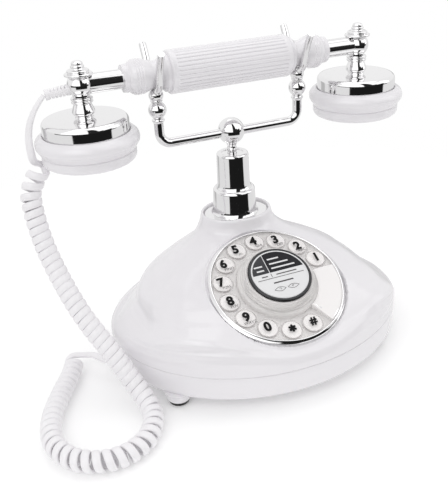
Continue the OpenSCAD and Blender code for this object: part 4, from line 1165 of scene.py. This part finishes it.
def swept_frames(path, first_side):
    """Place, direction and two sides all along a path, without a twist."""
    t = unit(path[1] - path[0])
    n = unit(first_side - first_side.dot(t) * t)
    frames = []
    for i in range(len(path)):
        if i:
            t = unit(path[min(i + 1, len(path) - 1)] - path[i - 1])
            n = unit(n - n.dot(t) * t)
        frames.append((path[i], t, n, np.cross(t, n)))
    return frames


class CurledCord:
    """The middle line and the sides of the cord, from the handset's relief to the plug."""

    def __init__(self, width, thickness, steps):
        self.width, self.thickness = width, thickness
        middle = through(CURL_ROUTE, np.arange(0, (len(CURL_ROUTE) - 1) * 8 + 1) / 8)
        self.frames = swept_frames(middle, np.array([1, 0.3, 0]))
        last = len(self.frames) - 1
        step = [np.linalg.norm(self.frames[i + 1][0] - self.frames[i][0]) for i in range(last)]
        run = np.concatenate([[0], np.cumsum(step)])
        turns = [0.0]
        for i in range(last):
            a, b = max(i - BEND_WINDOW, 0), min(i + BEND_WINDOW, last)
            bend = np.linalg.norm(self.frames[b][1] - self.frames[a][1]) / (run[b] - run[a])
            pitch = ((SOLID_W + CURL_PLAY) / (1 - CURL_R * bend)
                     + FIRST_OPEN * (1 - ease(run[i] / FIRST_REACH))
                     + LAST_OPEN * (1 - ease((run[last] - run[i]) / LAST_REACH)))
            turns.append(turns[-1] + (run[i + 1] - run[i]) / pitch)
        turns = np.array(turns)
        end = self.frames[last]
        end_turn = math.degrees(math.atan2(end[3][2], end[2][2])) / 360
        self.count = math.floor(turns[last] - end_turn) + end_turn + LAST_TURN
        self.turns = turns * self.count / turns[last]
        rings = [self.curl(u) for u in np.linspace(0, self.count, int(self.count * steps))]
        first, last_ring = rings[0], rings[-1]
        into_lead = unit(first[0] - self.curl(NUDGE)[0])
        into_tail = unit(last_ring[0] - self.curl(self.count - NUDGE)[0])
        joint = first[0] + into_lead * SOLID_W
        start = last_ring[0] + into_tail * SOLID_W
        lead = LEAD_ROUTE + [tuple(joint + into_lead * SOLID_W), tuple(joint)]
        tail = [tuple(start), tuple(start + into_tail * SOLID_W)] + TAIL_ROUTE
        handed = np.sign(np.cross(-into_lead, first[1]).dot(first[2]))
        self.rings = (self.straight(through(lead, np.linspace(0, len(lead) - 1, LEAD_STEPS)),
                                    SIDEWAYS, first[1], handed)
                      + rings
                      + self.straight(through(tail, np.linspace(0, len(tail) - 1, TAIL_STEPS)),
                                      last_ring[1], SIDEWAYS, handed))

    def curl(self, u):
        """Place, axis and outward way of the band after u turns."""
        k = int(np.clip(np.searchsorted(self.turns, u, side="right") - 1, 0, len(self.turns) - 2))
        f = (u - self.turns[k]) / (self.turns[k + 1] - self.turns[k])
        a, b = self.frames[k], self.frames[k + 1]
        place = a[0] * (1 - f) + b[0] * f
        t, n, s = (unit(a[i] * (1 - f) + b[i] * f) for i in (1, 2, 3))
        out = n * math.cos(2 * math.pi * u) + s * math.sin(2 * math.pi * u)
        return place + (CURL_MID_R - CURL_INSET) * out, t, out

    def straight(self, path, side0, side1, handed):
        """Rings along a straight stretch; the flat side turns from side0 to side1."""
        frames = swept_frames(path, side0)
        end = frames[-1]
        twist = math.atan2(side1.dot(end[3]), side1.dot(end[2]))
        made = []
        for i, (p, t, n, s) in enumerate(frames):
            q = twist * ease(i / (len(frames) - 1))
            wide = n * math.cos(q) + s * math.sin(q)
            made.append((p, wide, handed * np.cross(t, wide)))
        return made

    def shape(self):
        v = 2 * math.pi * np.arange(16) / 16
        cw = np.sign(np.cos(v)) * np.abs(np.cos(v)) ** BAND_SQUARE[0]
        sw = np.sign(np.sin(v)) * np.abs(np.sin(v)) ** BAND_SQUARE[1]
        return loft([p + np.outer(cw * self.width / 2, wide) + np.outer(sw * self.thickness / 2, thick)
                     for p, wide, thick in self.rings])

    def path(self):
        return np.array([p for p, _, _ in self.rings])


class TELEPHONE_OT_cord(PieceOperator):
    """Curly cord from the handset to the jack in the base"""

    bl_idname = "telephone.cord"
    bl_label = "Curly cord"

    def execute(self, context):
        size = context.scene.telephone_cord
        cord = CurledCord(size.width / MM, size.thickness / MM, size.steps)
        piece = add_mesh("handset_cord", *cord.shape(), FINISHES["cord_white"])
        finish_shape(piece, 60)
        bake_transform(piece)
        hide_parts("cord_lead", "curly_cord", "cord_tail")
        return {"FINISHED"}


class TELEPHONE_OT_finishes(PieceOperator):
    """Makes the finishes, and gives theirs to the pieces that come from the frame as they are"""

    bl_idname = "telephone.finishes"
    bl_label = "Finishes"

    def execute(self, context):
        make_finishes(context.scene)
        slots = {s["node"]: s["material_slot"] for s in frame["record"]["subparts"]}
        for name, node in NODES.items():
            node.data.materials.clear()
            node.data.materials.append(FINISHES[slots[name]])
        return {"FINISHED"}


class TELEPHONE_PT_panel(bpy.types.Panel):
    """Lists the telephone's pieces and their sizes"""

    bl_idname = "TELEPHONE_PT_panel"
    bl_label = "Cradle telephone"
    bl_space_type = "VIEW_3D"
    bl_region_type = "UI"
    bl_category = "Telephone"

    def draw(self, context):
        for operator in OPERATORS:
            self.layout.operator(operator.bl_idname)
        for group in GROUPS:
            settings = getattr(context.scene, GROUPS[group])
            for name in group.__annotations__:
                self.layout.prop(settings, name)


GROUPS = {
    TELEPHONE_PG_plastic: "telephone_plastic",
    TELEPHONE_PG_chrome: "telephone_chrome",
    TELEPHONE_PG_cord: "telephone_cord",
    TELEPHONE_PG_dial: "telephone_dial",
    TELEPHONE_PG_stage: "telephone_stage",
}
OPERATORS = (
    TELEPHONE_OT_stage,
    TELEPHONE_OT_finishes,
    TELEPHONE_OT_base,
    TELEPHONE_OT_dial,
    TELEPHONE_OT_label,
    TELEPHONE_OT_chrome,
    TELEPHONE_OT_forks,
    TELEPHONE_OT_grip,
    TELEPHONE_OT_cord,
)


def register():
    for group, name in GROUPS.items():
        bpy.utils.register_class(group)
        setattr(bpy.types.Scene, name, PointerProperty(type=group))
    for operator in OPERATORS:
        bpy.utils.register_class(operator)
    bpy.utils.register_class(TELEPHONE_PT_panel)


def unregister():
    bpy.utils.unregister_class(TELEPHONE_PT_panel)
    for operator in reversed(OPERATORS):
        bpy.utils.unregister_class(operator)
    for group, name in GROUPS.items():
        delattr(bpy.types.Scene, name)
        bpy.utils.unregister_class(group)


def main():
    register()
    for operator in OPERATORS:
        area, name = operator.bl_idname.split(".")
        getattr(getattr(bpy.ops, area), name)()


if __name__ == "__main__":
    main()
